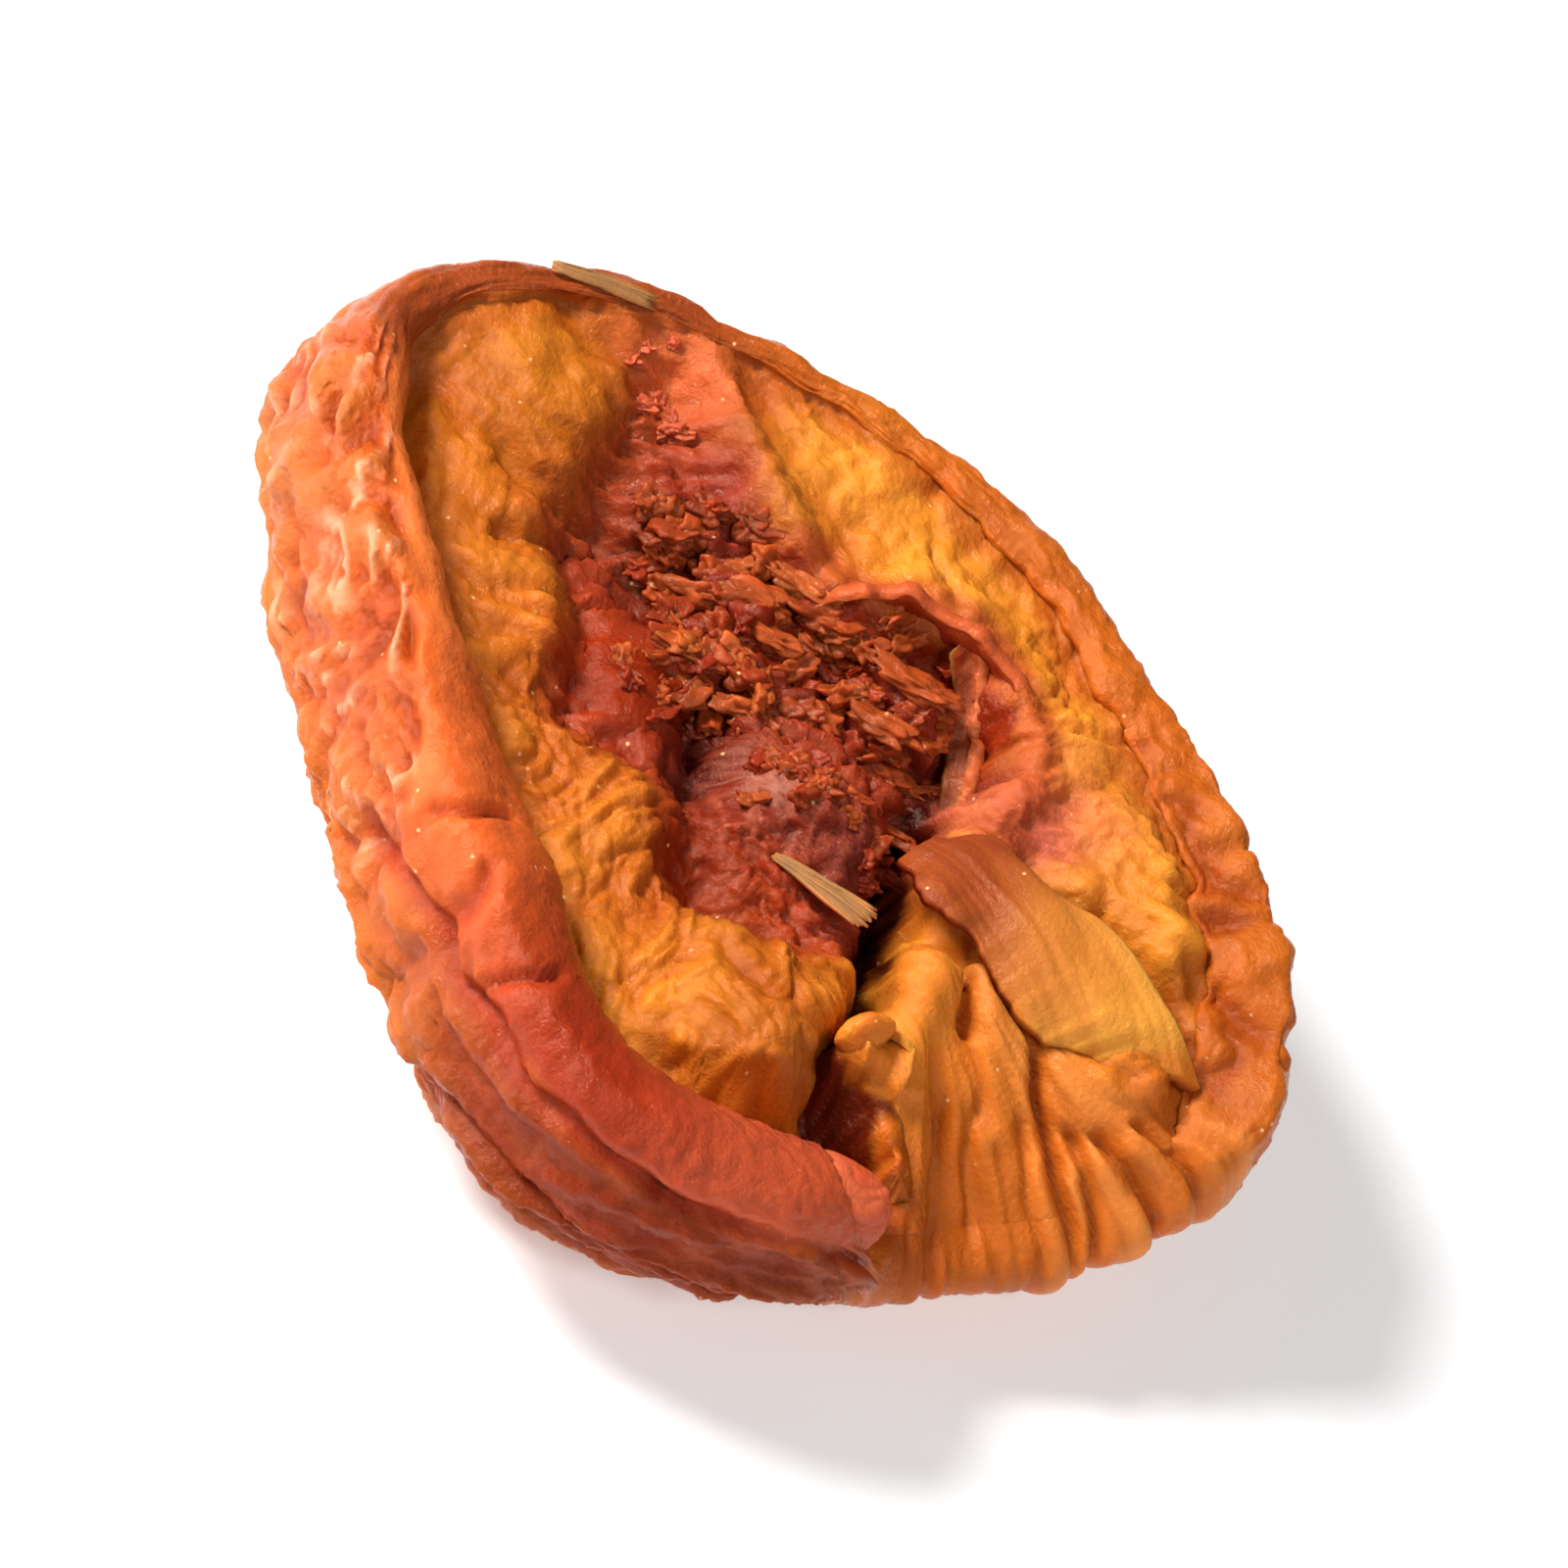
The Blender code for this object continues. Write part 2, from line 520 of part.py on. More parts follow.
def rounded_end(at, axes, turn, cuts=3):
    """The bulb in which the thick roll ends, half sunk in it."""
    bm = bmesh.new()
    bmesh.ops.create_icosphere(bm, subdivisions=cuts, radius=1.0)
    c, s = math.cos(math.radians(turn)), math.sin(math.radians(turn))
    for v in bm.verts:
        x, y, z = (a * b for a, b in zip(v.co, axes))
        place = (x * c - y * s + at[0] + CENTRE[0], x * s + y * c + at[1] + CENTRE[1], z + at[2] + RIM_HEIGHT)
        v.co = [MM * p for p in place]
    mesh = bpy.data.meshes.new("roll_end")
    bm.to_mesh(mesh)
    bm.free()
    return linked("roll_end", mesh)


def join_solids(body, others):
    """Fuses the other solids into the body."""
    collection = bpy.data.collections.new("joined")
    for other in others:
        collection.objects.link(other)
    union = body.modifiers.new("union", "BOOLEAN")
    union.operation = "UNION"
    union.operand_type = "COLLECTION"
    union.collection = collection
    union.solver = "EXACT"
    union.use_self = True
    fused = bpy.data.meshes.new_from_object(body.evaluated_get(bpy.context.evaluated_depsgraph_get()))
    body.modifiers.clear()
    body.data = fused
    fused.shade_smooth()
    for other in others:
        bpy.data.objects.remove(other)
    bpy.data.collections.remove(collection)


def main():
    for old in list(bpy.data.objects):
        bpy.data.objects.remove(old)
    half = peach_half()
    join_solids(half, [flap(), rounded_end(*ROLL_END), *flakes(), *(splinter(*each) for each in SPLINTERS)])
    half.data.materials.clear()
    skin = bpy.data.materials.new("dried_flesh")
    skin.use_nodes = True
    surface = skin.node_tree.nodes["Principled BSDF"]
    surface.inputs["Base Color"].default_value = (0.72, 0.25, 0.04, 1.0)
    surface.inputs["Roughness"].default_value = 0.45
    surface.inputs["Metallic"].default_value = 0.0
    half.data.materials.append(skin)


main()
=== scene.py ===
# %% [markdown]
# # Half of a dried peach
#
# A peach is cut round its stone, the stone is pulled out, and each half dries with its cut face up. The
# skin shrinks less than the flesh, so it gathers into wrinkles and rolls in over the cut face. The hollow
# left by the stone stays ragged and red.
#
# The measured solid is loaded first. Everything made below sits where that solid sits.

import math

import bmesh
import bpy
import numpy as np
from mathutils import Matrix, Vector, noise


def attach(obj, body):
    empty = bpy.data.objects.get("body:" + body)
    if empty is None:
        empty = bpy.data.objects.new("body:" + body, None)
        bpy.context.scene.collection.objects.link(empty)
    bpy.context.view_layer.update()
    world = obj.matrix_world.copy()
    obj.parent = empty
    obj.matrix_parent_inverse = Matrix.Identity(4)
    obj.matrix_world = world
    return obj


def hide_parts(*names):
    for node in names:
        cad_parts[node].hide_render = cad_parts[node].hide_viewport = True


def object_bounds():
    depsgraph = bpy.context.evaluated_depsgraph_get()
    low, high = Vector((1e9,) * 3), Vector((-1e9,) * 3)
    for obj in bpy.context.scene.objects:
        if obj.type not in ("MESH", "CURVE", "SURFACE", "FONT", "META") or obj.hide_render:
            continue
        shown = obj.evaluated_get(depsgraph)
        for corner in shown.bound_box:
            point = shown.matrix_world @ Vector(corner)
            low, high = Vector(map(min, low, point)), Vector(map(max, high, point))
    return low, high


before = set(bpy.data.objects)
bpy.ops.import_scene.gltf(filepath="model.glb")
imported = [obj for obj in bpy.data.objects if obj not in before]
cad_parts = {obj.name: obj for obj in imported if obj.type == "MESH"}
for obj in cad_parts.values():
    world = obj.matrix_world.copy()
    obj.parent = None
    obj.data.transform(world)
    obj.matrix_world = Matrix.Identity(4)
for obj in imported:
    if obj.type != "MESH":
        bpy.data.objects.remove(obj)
solid_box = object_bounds()
print("solid, in mm:", [[round(c * 1000, 1) for c in corner] for corner in solid_box])

# %% [markdown]
# ## Units and small helpers
#
# The half is 62 mm long, so all shapes are worked out in millimetres and turned to metres once, when a
# mesh is made. Most forms below are built from three helpers: a soft step from 0 to 1, a smooth path
# through a few points, and a bell-shaped mound. A loop over the vertices could do the sums one by one, but
# numpy does them for all points of a mesh at once, and so each helper takes whole arrays.

# %% Steps, mounds and paths
MM = 0.001


def soft_step(low, high, value):
    """0 below low, 1 above high, and a smooth rise between. With low above high it falls instead."""
    t = np.clip((value - low) / (high - low), 0.0, 1.0)
    return t * t * (3.0 - 2.0 * t)


def blend(a, b, share):
    """From a to b as share goes from 0 to 1."""
    return a + (b - a) * share


def mound(x, y, at, reach, turn=0.0):
    """1 at a point, falling away as a bell: reach is along and across, turn in degrees."""
    c, s = math.cos(math.radians(turn)), math.sin(math.radians(turn))
    u, v = (x - at[0]) * c + (y - at[1]) * s, (y - at[1]) * c - (x - at[0]) * s
    return np.exp(-0.5 * ((u / reach[0]) ** 2 + (v / reach[1]) ** 2))


def smooth_path(points, per_leg=6):
    """A Catmull-Rom curve through points, as rows of coordinates."""
    p = np.array(points, float)
    p = np.vstack([2 * p[0] - p[1], p, 2 * p[-1] - p[-2]])
    t = np.linspace(0.0, 1.0, per_leg, endpoint=False)[:, None]
    legs = [
        0.5 * (2 * b + (c - a) * t + (2 * a - 5 * b + 4 * c - d) * t**2 + (3 * b - a - 3 * c + d) * t**3)
        for a, b, c, d in zip(p[:-3], p[1:-2], p[2:-1], p[3:])
    ]
    return np.vstack([*legs, p[-2:-1]])


def beside_path(x, y, points):
    """Distance from a path, share of the way along it, and its side: +1 to the left, -1 to the right."""
    path = smooth_path([q[:2] for q in points])
    best = np.full(x.shape, np.inf)
    along = np.zeros(x.shape)
    side = np.ones(x.shape)
    for n, (a, b) in enumerate(zip(path[:-1], path[1:])):
        ux, uy = b - a
        share = np.clip(((x - a[0]) * ux + (y - a[1]) * uy) / (ux * ux + uy * uy), 0.0, 1.0)
        dx, dy = x - a[0] - share * ux, y - a[1] - share * uy
        away = np.hypot(dx, dy)
        near = away < best
        best = np.where(near, away, best)
        along = np.where(near, (n + share) / (len(path) - 1), along)
        side = np.where(near, np.sign(ux * dy - uy * dx), side)
    return best, along, side


def inside(x, y, outline, slope):
    """1 well within a closed outline and 0 outside, rising over slope as it goes in."""
    loop = np.array(outline, float)
    path = smooth_path(np.vstack([loop[-1:], loop, loop[:2]]))[6:-6]
    away = beside_path(x, y, np.vstack([loop, loop[:1]]))[0]
    crossings = np.zeros(x.shape, int)
    for (ax, ay), (bx, by) in zip(path, np.roll(path, -1, axis=0)):
        spans = (ay > y) != (by > y)
        if by != ay:
            crossings += spans & (x < ax + (y - ay) * (bx - ax) / (by - ay))
    signed = np.where(crossings % 2 == 1, away, -away)
    return soft_step(-0.25 * slope, 0.75 * slope, signed)


print("half way up a soft step:", soft_step(0.0, 1.0, 0.5))

# %% [markdown]
# ## Natural roughness
#
# Dried skin and flesh never repeat, so their bumps come from noise. Plain noise gives soft swells. The
# distance of noise from zero gives puffy grains with sharp creases between them, which is how skin looks
# when it shrinks. A size of three numbers stretches the bumps. Displace modifiers could push the mesh in
# and out too, but the colours below need the same numbers, so the noise is read here.

# %% Noise helpers
def swell(points, size, shift=0.0):
    """Soft bumps, from about -1 to 1, at rows of coordinates; size is the width of a bump."""
    scaled = points / np.array(size, float) + shift
    return 1.5 * np.array([noise.noise(p) for p in scaled.tolist()])


def puffs(points, size, shift=0.0, push=0.5):
    """Puffy grains with sharp creases between them, from 0 to about 1."""
    scaled = points / np.array(size, float) + shift
    bent = scaled + push * np.column_stack([swell(scaled, 2.0, k) for k in (3.1, 17.7, 31.3)])
    return np.clip(2.6 * np.abs([noise.noise(p) for p in bent.tolist()]), 0.0, 1.3)


def with_height(x, y, z=0.0):
    """Rows of coordinates, all at one height."""
    return np.column_stack([x, y, np.zeros(len(x)) + z])


test = np.random.default_rng(1).uniform(0.0, 50.0, (2000, 3))
print("puffs lie between", puffs(test, 2.0).min().round(2), "and", puffs(test, 2.0).max().round(2))

# %% [markdown]
# ## The rolled rim
#
# Round the cut face the skin has rolled inwards. On one side the roll is as thick as a pencil, on the
# other it is a thin lip, and at the stem end there is no roll at all: the skin runs straight over the
# edge. A tube swept round the outline could make the roll, but it would be a skin of its own. Here one
# table says how the rim changes on the way round, the code runs smoothly between rows, and the flesh, the
# roll and the back are all parts of one skin.

# %% The rim, station by station
RIM_HEIGHT = 15.0  # cut plane above the floor
BELLY_HEIGHT = 8.5  # widest line of the rounded back, above the floor
BELLY_DROP = 2.0  # least drop from the rim's crest to that line
REST_SINK = 0.5  # how much of the back's lowest part is pressed flat
RIM_RADIUS = 24.0  # distance of the rim from the middle, on the whole
CENTRE = (3.33, -0.45)  # where the zero of all tables lies in the frame

# Angle from the stem end in degrees, then distance and height of the crest, width of the roll inside
# and outside its crest, and its depth
RIM = (
    (-176, 31.9, -0.5, 1.2, 2.0, 0.72),
    (-171, 30.4, 0.5, 2.6, 3.3, 3.4),
    (-165, 28.6, 1.1, 2.8, 3.7, 4.2),
    (-150, 23.0, 1.3, 3.4, 3.7, 4.4),
    (-135, 20.0, 1.2, 4.1, 3.2, 4.6),
    (-115, 19.1, 1.3, 5.3, 2.3, 5.0),
    (-90, 19.4, 1.4, 5.4, 2.5, 5.0),
    (-60, 22.9, 0.5, 5.1, 3.0, 5.0),
    (-40, 23.2, -1.0, 5.2, 3.0, 4.8),
    (-23, 22.5, -2.6, 4.4, 2.7, 4.2),
    (-18, 21.8, -7.8, 0.5, 2.4, 0.5),
    (0, 22.2, -8.0, 0.4, 2.4, 0.4),
    (10, 24.5, -7.0, 0.4, 2.4, 0.4),
    (19, 26.6, -4.8, 0.5, 2.2, 0.5),
    (28, 29.0, -2.2, 3.2, 1.2, 1.0),
    (45, 27.1, 0.0, 3.8, 1.0, 1.1),
    (65, 23.9, 0.3, 3.0, 1.1, 1.0),
    (86, 22.2, 0.0, 1.6, 1.3, 0.9),
    (115, 23.6, 0.1, 1.2, 1.4, 0.85),
    (146, 26.6, -0.2, 1.2, 1.5, 0.75),
    (162, 29.8, 0.1, 1.2, 1.7, 0.72),
    (176, 31.6, 0.0, 1.2, 2.0, 0.72),
)
RIM_COLUMNS = range(1, 6)
CREST, INNER, DEPTH = 1, 3, 5  # the columns that are also read alone
RIM_BLUR = 3.0  # degrees over which neighbouring stations run into each other
RIM_WAVE = 0.7  # how far the inner edge of the thin rim strays
THIN_DEPTH = (1.3, 2.4)  # a rim shallower than this is thin
LEAST_INNER = 0.2
TUCK = math.radians(118)  # how far the roll turns over before it meets the flesh
OPEN_DEPTH = (0.5, 0.9)  # a roll shallower than this is no roll: there the skin runs straight over
OPEN_RUN, OPEN_FALL = 1.5, 0.9  # length and fall of that last stretch of skin
OPEN_LEAD = math.radians(35)  # its slope, carried on over the edge


def round_the_rim(column, angle):
    """A column of RIM at each angle, in radians, run smoothly from station to station."""
    table = np.array(RIM, float)
    steps = np.arange(720) * 0.5
    values = np.interp(steps, table[:, 0] % 360.0, table[:, column], period=360.0)
    away = np.minimum(steps, 360.0 - steps)
    kernel = np.exp(-0.5 * (away / RIM_BLUR) ** 2)
    kernel /= kernel.sum()
    blurred = np.fft.irfft(np.fft.rfft(values) * np.fft.rfft(kernel), n=len(steps))
    if column == INNER:
        thin = 1.0 - soft_step(*THIN_DEPTH, round_the_rim(DEPTH, np.radians(steps)))
        ring = np.column_stack([np.cos(np.radians(steps)), np.sin(np.radians(steps)), 0 * steps]) * RIM_RADIUS
        blurred = blurred + RIM_WAVE * thin * (0.7 * swell(ring, 4.5) + 0.5 * swell(ring, 2.0, 5.0) + 0.4)
        blurred = np.maximum(blurred, LEAST_INNER)
    return np.interp(np.degrees(angle) % 360.0, steps, blurred, period=360.0)


def openness(angle):
    """1 where the rim has no roll, at the stem hollow, and 0 where it has."""
    return 1.0 - soft_step(*OPEN_DEPTH, round_the_rim(DEPTH, angle))


def crease(angle):
    """Distance and height of the line where the rim meets the cut face."""
    crest_r, crest_z, inner, _, deep = (round_the_rim(c, angle) for c in RIM_COLUMNS)
    bare = openness(angle)
    rolled_r = crest_r - inner * math.sin(TUCK)
    rolled_z = crest_z - deep + deep * math.cos(TUCK)
    r = blend(rolled_r, crest_r - OPEN_RUN, bare)
    return r, blend(rolled_z, crest_z + OPEN_FALL, bare)


print("crest of the thick roll, in mm:", round_the_rim(CREST, np.radians([-115.0])).round(1))

# %% [markdown]
# ## The cut face
#
# Inside the rim the flesh lies as a shallow dish. Pads of flesh rise from it, and creases run between
# them. The hollow of the stone is a torn pit, with a thin lip on its far side and a deep cleft that leads
# to the stem end. A sculptor's brush could raise and cut them by hand. Each is one line in a table here,
# where it is, how far it reaches, and how high it stands or how deep it cuts, because a line can be read,
# changed and run again.

# %% Pads, pit and creases
FLESH_LEVEL = -2.9  # height at the middle, from the cut plane
FLESH_LEAN = 0.075  # its rise towards the far side
FLESH_BLEND = 3.0  # distance from the rim over which the flesh takes its own height

# Place, reach along and across, turn in degrees, and height
PADS = (
    ((-24.4, 2.0), (3.8, 4.2), 20, 0.9),  # behind the tip
    ((-28.4, 3.4), (2.2, 4.0), 20, 0.8),
    ((10.9, -7.9), (3.9, 2.9), -20, 2.2),  # beside the cleft
    ((16.4, -6.6), (2.4, 1.6), 0, -2.2),  # hollow under the head of the fan
    ((9.6, 15.6), (5.0, 2.4), -15, 1.0),  # beyond the flap
    ((15.2, 15.6), (3.2, 1.8), -40, 1.1),
    ((-9.0, 16.0), (9.0, 2.4), 8, 0.5),  # the long strip beyond the pit
    ((-14.0, -5.4), (4.0, 2.0), 35, 0.4),
)

PIT_EDGE = (
    (-26.2, 10.2), (-24.0, 11.9), (-21.0, 11.4), (-17.6, 10.4), (-13.6, 9.9), (-8.6, 10.4), (-6.0, 13.4),
    (-3.0, 15.4), (1.0, 15.2), (4.0, 13.5), (5.8, 8.0), (7.8, 4.4), (9.0, 1.4), (8.4, -2.0), (6.2, -4.9),
    (3.6, -7.2), (1.2, -6.8), (-1.4, -5.6), (-4.2, -4.9), (-6.6, -6.2), (-9.0, -7.4), (-11.2, -6.4),
    (-13.0, -4.2), (-15.0, -3.0), (-18.8, -1.4), (-20.0, 1.4), (-22.6, 4.6), (-24.8, 8.0),
)
PIT_DEPTH = 2.6
PIT_SLOPE = 3.2  # width of the pit's sloping side

PIT_FORMS = (
    ((-13.7, 4.0), (1.7, 1.3), 20, -2.2),  # purple hollow
    ((-5.2, 0.9), (2.9, 0.9), -42, -3.0),  # deep pocket
    ((-5.6, 9.4), (1.4, 1.0), 35, -1.8),
    ((2.0, -5.0), (2.0, 1.4), 0, -0.8),
    ((-3.6, 14.4), (2.2, 1.0), 20, -2.0),  # gutter inside the lip
    ((1.3, 11.6), (1.0, 2.2), -30, -2.6),
    ((5.6, 5.2), (1.2, 0.8), -60, -1.2),
    ((-9.6, -1.4), (1.9, 1.7), 10, 1.4),  # amber mound
    ((-14.6, 7.2), (2.6, 1.4), 0, 0.8),
    ((-8.9, 6.4), (2.6, 1.8), 40, 1.4),  # torn ridges
    ((-2.6, 10.9), (2.2, 1.3), 10, 2.0),
    ((0.6, 2.6), (3.2, 2.5), 30, 2.8),  # fibrous mass in the middle
    ((-1.2, -3.4), (2.0, 1.1), 10, 1.2),
    ((-20.6, 8.2), (4.2, 2.2), -15, 1.7),  # rise towards the tip
)

# The torn lip on the far side of the pit, in two runs
UPPER_LIP = ((-25.8, 11.8), (-23.2, 11.9), (-20.4, 11.5), (-17.9, 10.8), (-14.1, 10.4), (-10.1, 10.4))
LIP = (
    (-10.6, 10.3), (-7.2, 11.7), (-5.5, 14.2), (-3.1, 15.5), (0.1, 15.4), (2.8, 14.2), (4.7, 12.0),
    (5.5, 9.6),
)

# Three clefts: from the pit to the stem end, under the head of the fan, and between the two
STEM_CLEFT = ((2.4, 9.6), (4.2, 6.9), (7.0, 4.2), (9.0, 1.4), (10.7, -0.3), (12.3, -1.9), (12.9, -3.0))
FAN_CLEFT = ((13.8, -5.9), (15.2, -5.9), (16.6, -5.8), (18.0, -5.8), (19.6, -6.2), (21.2, -7.6))
KNOB_CLEFT = ((12.0, -2.0), (12.1, -3.2), (12.5, -4.6), (13.4, -5.6), (14.6, -5.8))

# Points along a ridge or crease, its half-width, its height, and how soon its ends fade out
CLEFTS = (
    (STEM_CLEFT, 0.8, -4.8, 0.08),
    (FAN_CLEFT, 0.9, -3.2, 0.12),
    (KNOB_CLEFT, 0.45, -2.8, 0.12),
)
FLAP_SEAM = (
    (7.0, 11.0), (9.4, 10.7), (11.6, 11.3), (14.0, 12.5), (16.0, 13.0), (18.0, 13.1), (20.4, 13.1),
    (22.6, 13.1),
)
TAB_HOLLOW = ((7.2, 4.4), (8.8, 4.6), (10.4, 4.8), (12.0, 5.6))
RIDGES = (
    (UPPER_LIP, 0.9, 1.2, 0.12),
    (LIP, 1.1, 1.1, 0.14),
    (((-29.6, 6.7), (-27.6, 6.3), (-25.8, 6.9), (-23.6, 8.4)), 0.6, -1.0, 0.2),
    (((-24.6, -1.2), (-21.6, -0.6), (-19.8, 0.6), (-18.3, 2.3), (-15.6, 4.6)), 0.5, -1.2, 0.2),
    (((-19.6, -4.6), (-18.4, -2.4), (-17.4, 0.2), (-16.4, 3.4)), 0.45, -1.0, 0.2),
    (FLAP_SEAM, 0.62, -2.6, 0.12),
    (TAB_HOLLOW, 0.9, -2.0, 0.15),
    (((20.6, 8.2), (21.9, 10.0), (22.9, 11.6), (24.0, 13.0)), 0.8, 0.3, 0.25),
    *CLEFTS,
)

# %% [markdown]
# ## The fan of pleats
#
# At the stem end the skin was drawn into the stem's hollow. It has dried as a fan of pleats, which
# spreads from the cleft and runs down over the edge. Short limbs run together at its head, beside a small
# bulge. Waves worked out from the bearing alone would look like a machine's, so each crease is a line
# traced through a few points, and the pleats are the cushions left between them.

# %% The fan of pleats
FAN_EDGE = (
    (9.0, 2.9), (10.4, 1.1), (12.0, -0.5), (13.0, -2.0), (12.8, -3.3), (13.2, -4.5), (14.2, -4.9),
    (15.2, -4.3), (16.4, -4.1), (17.8, -4.1), (19.2, -4.3), (20.6, -5.2), (22.0, -7.2), (27.0, -10.0),
    (33.0, 4.0), (33.0, 15.0), (26.5, 13.8), (22.6, 11.4), (20.0, 8.0), (17.0, 7.0), (13.0, 5.6),
)
FAN_SLOPE = 1.4  # width of its border
FAN_CENTRE = (8.0, 1.6)  # the point that the pleats spread from
FAN_START = 4.0  # distance from that point at which the fan starts to fall
FAN_TOP = -1.9  # its height there
FAN_BOW = 1.3  # above 1, it falls faster the nearer it comes to the edge
KNOB = ((13.9, -4.1), (0.75, 0.70), 50, 1.5)  # the bulge, as in PADS

# The creases between pleats: points, half-width, depth, fade, and rise of the fold that overlaps it
PLEAT_LINES = (
    (((9.6, 5.0), (11.4, 4.3), (12.9, 3.6), (14.4, 2.7), (15.7, 2.1)), 0.24, 1.2, 0.12, 0.2),
    (((16.5, 0.1), (18.6, -0.9), (20.8, -2.2), (23.5, -3.2), (26.0, -4.0)), 0.34, 0.45, 0.15, 0.15),
    (((17.0, 2.1), (18.8, 1.0), (20.7, 0.1), (25.0, -0.9)), 0.30, 0.25, 0.2, 0.15),
    (((18.9, 3.3), (21.1, 3.0), (24.8, 2.4), (27.2, 2.0)), 0.28, 0.35, 0.15, 0.35),
    (
        ((11.7, 5.2), (14.2, 4.9), (16.5, 5.2), (18.8, 4.7), (20.8, 4.3), (23.4, 4.2), (27.6, 4.2)),
        0.32, 0.9, 0.1, 0.75,
    ),
    (((20.4, 5.0), (22.5, 5.4), (25.4, 5.3), (28.0, 5.3)), 0.26, 0.6, 0.15, 0.6),
    (((21.4, 6.0), (24.0, 7.2), (26.1, 8.0), (28.4, 8.9)), 0.28, 0.7, 0.12, 0.85),
    (((22.3, 8.2), (23.9, 9.3), (26.2, 10.2), (28.6, 11.4)), 0.26, 0.5, 0.15, 0.6),
)

# Limbs that stand above the pleats: points, half-width, height and fade
LIMBS = (
    (((10.6, 2.5), (12.4, 0.9), (13.9, -0.7), (15.2, -2.0), (16.4, -2.6)), 0.8, 1.1, 0.12),
    (((15.4, -2.6), (17.0, -3.2), (18.6, -3.2), (20.4, -4.0), (23.0, -6.6)), 1.3, 0.55, 0.15),
    (((13.9, -4.3), (14.6, -3.2), (15.4, -2.3)), 0.55, 0.6, 0.1),
    (((11.5, 5.6), (14.0, 4.0), (16.4, 3.0), (18.4, 2.2), (20.6, 1.8)), 0.7, 0.35, 0.15),
)
PLEAT_CUSHION = 0.30  # rise of a pleat between its creases
PLEAT_REACH = 0.7  # distance over which it rises
LAP_REACH = 1.3  # distance over which an overlapping fold sinks back
FAR_FROM_LINES = 9.0


def from_fan_centre(x, y):
    """Distance and bearing, in degrees, from the point that the pleats spread from."""
    u, v = x - FAN_CENTRE[0], y - FAN_CENTRE[1]
    return np.hypot(u, v), np.degrees(np.arctan2(v, u))


def traced(x, y, lines):
    """Sum of ridges or creases along lines, and distance to the nearest one."""
    total, nearest = np.zeros(x.shape), np.full(x.shape, FAR_FROM_LINES)
    for points, half_width, rise, fade, *overlap in lines:
        beside, along, side = beside_path(x, y, points)
        ends = soft_step(0.0, fade, along) * soft_step(0.0, fade, 1.0 - along)
        total += rise * ends * np.exp(-0.5 * (beside / half_width) ** 2)
        for lap in overlap:
            total -= lap * ends * np.exp(-beside / LAP_REACH) * soft_step(0.05, 0.3, -side * beside)
        nearest = np.minimum(nearest, beside + 2.0 * (1.0 - ends))
    return total, nearest


def pleats(x, y):
    """Cushions between the creases of the fan, and small wrinkles on their flanks."""
    away, bearing = from_fan_centre(x, y)
    stray = 0.35 * swell(with_height(x, y), 3.0, 4.0)
    cut, nearest = traced(x + stray, y + 0.7 * stray, PLEAT_LINES)
    limbs, _ = traced(x, y, LIMBS)
    cushion = PLEAT_CUSHION * (1.0 - np.exp(-nearest / PLEAT_REACH))
    turns = np.column_stack([0.16 * away, 0.30 * bearing, 0 * x])
    broad, small = swell(turns, (1.3, 2.6, 1.0), 21.0), swell(turns, (1.0, 1.0, 1.0), 4.0)
    fine = puffs(turns, (0.8, 0.5, 1.0), 8.0)
    return limbs - cut + cushion - 0.2 + 0.34 * broad + 0.14 * small + 0.14 * (fine - 0.4)


def flesh_height(x, y):
    """Height of the cut face from the cut plane, before its fine wrinkles."""
    z = FLESH_LEVEL + FLESH_LEAN * y
    for at, reach, turn, height in PADS:
        z = z + height * mound(x, y, at, reach, turn)
    z = z - PIT_DEPTH * inside(x, y, PIT_EDGE, PIT_SLOPE)
    for at, reach, turn, height in PIT_FORMS:
        z = z + height * mound(x, y, at, reach, turn)
    fan = inside(x, y, FAN_EDGE, FAN_SLOPE)
    edge_r, edge_z = crease(np.arctan2(y, x))
    away = np.clip(from_fan_centre(x, y)[0] - FAN_START, 0.01, None)
    down = away / (away + np.clip(edge_r - np.hypot(x, y), 0.0, None))
    z = blend(z, blend(FAN_TOP, edge_z, down**FAN_BOW), fan)
    at, reach, turn, height = KNOB
    z = z + height * mound(x, y, at, reach, turn)
    return z + traced(x, y, RIDGES)[0]


pit_floor = flesh_height(np.array([-12.9]), np.array([3.0]))
print("pit floor below the flesh, in mm:", (pit_floor - FLESH_LEVEL).round(1))

# %% [markdown]
# ## The body
#
# The half is one closed skin, so it is shaped from a ball. Each point of the ball has a bearing, and a
# share of the way from the middle of the cut face to the middle of the back. A rule turns those two
# numbers into a place on the peach: first across the flesh, then over the roll, down the side and under.
# A cube blown up round makes the ball, because its faces stay even and it has no poles.

# %% Blow up a cube
GRID = 128  # faces along each side of the cube
STEM_CROWDING = 0.35  # share by which the faces crowd towards the stem end, where the pleats are
FLESH_END, CREST_AT, BELLY_AT = 0.40, 0.50, 0.61  # shares at which the flesh, the roll and the side end
BACK_IN, BACK_DOWN = 0.9, 1.1  # below 1 the back is fuller, above 1 flatter


def ball(grid):
    """A cube of even faces, blown up round."""
    bm = bmesh.new()
    bmesh.ops.create_cube(bm, size=2.0)
    bmesh.ops.subdivide_edges(bm, edges=bm.edges[:], cuts=grid - 1, use_grid_fill=True)
    for v in bm.verts:
        v.co = [math.tan(c * math.pi / 4) for c in v.co]
        v.co.normalize()
    return bm


def bearing_and_share(direction):
    """Bearing in radians, and share of the way from the top of the ball to its foot."""
    angle = np.arctan2(direction[:, 1], direction[:, 0])
    angle = angle - STEM_CROWDING * np.sin(angle)
    return angle, np.arccos(np.clip(direction[:, 2], -1.0, 1.0)) / math.pi


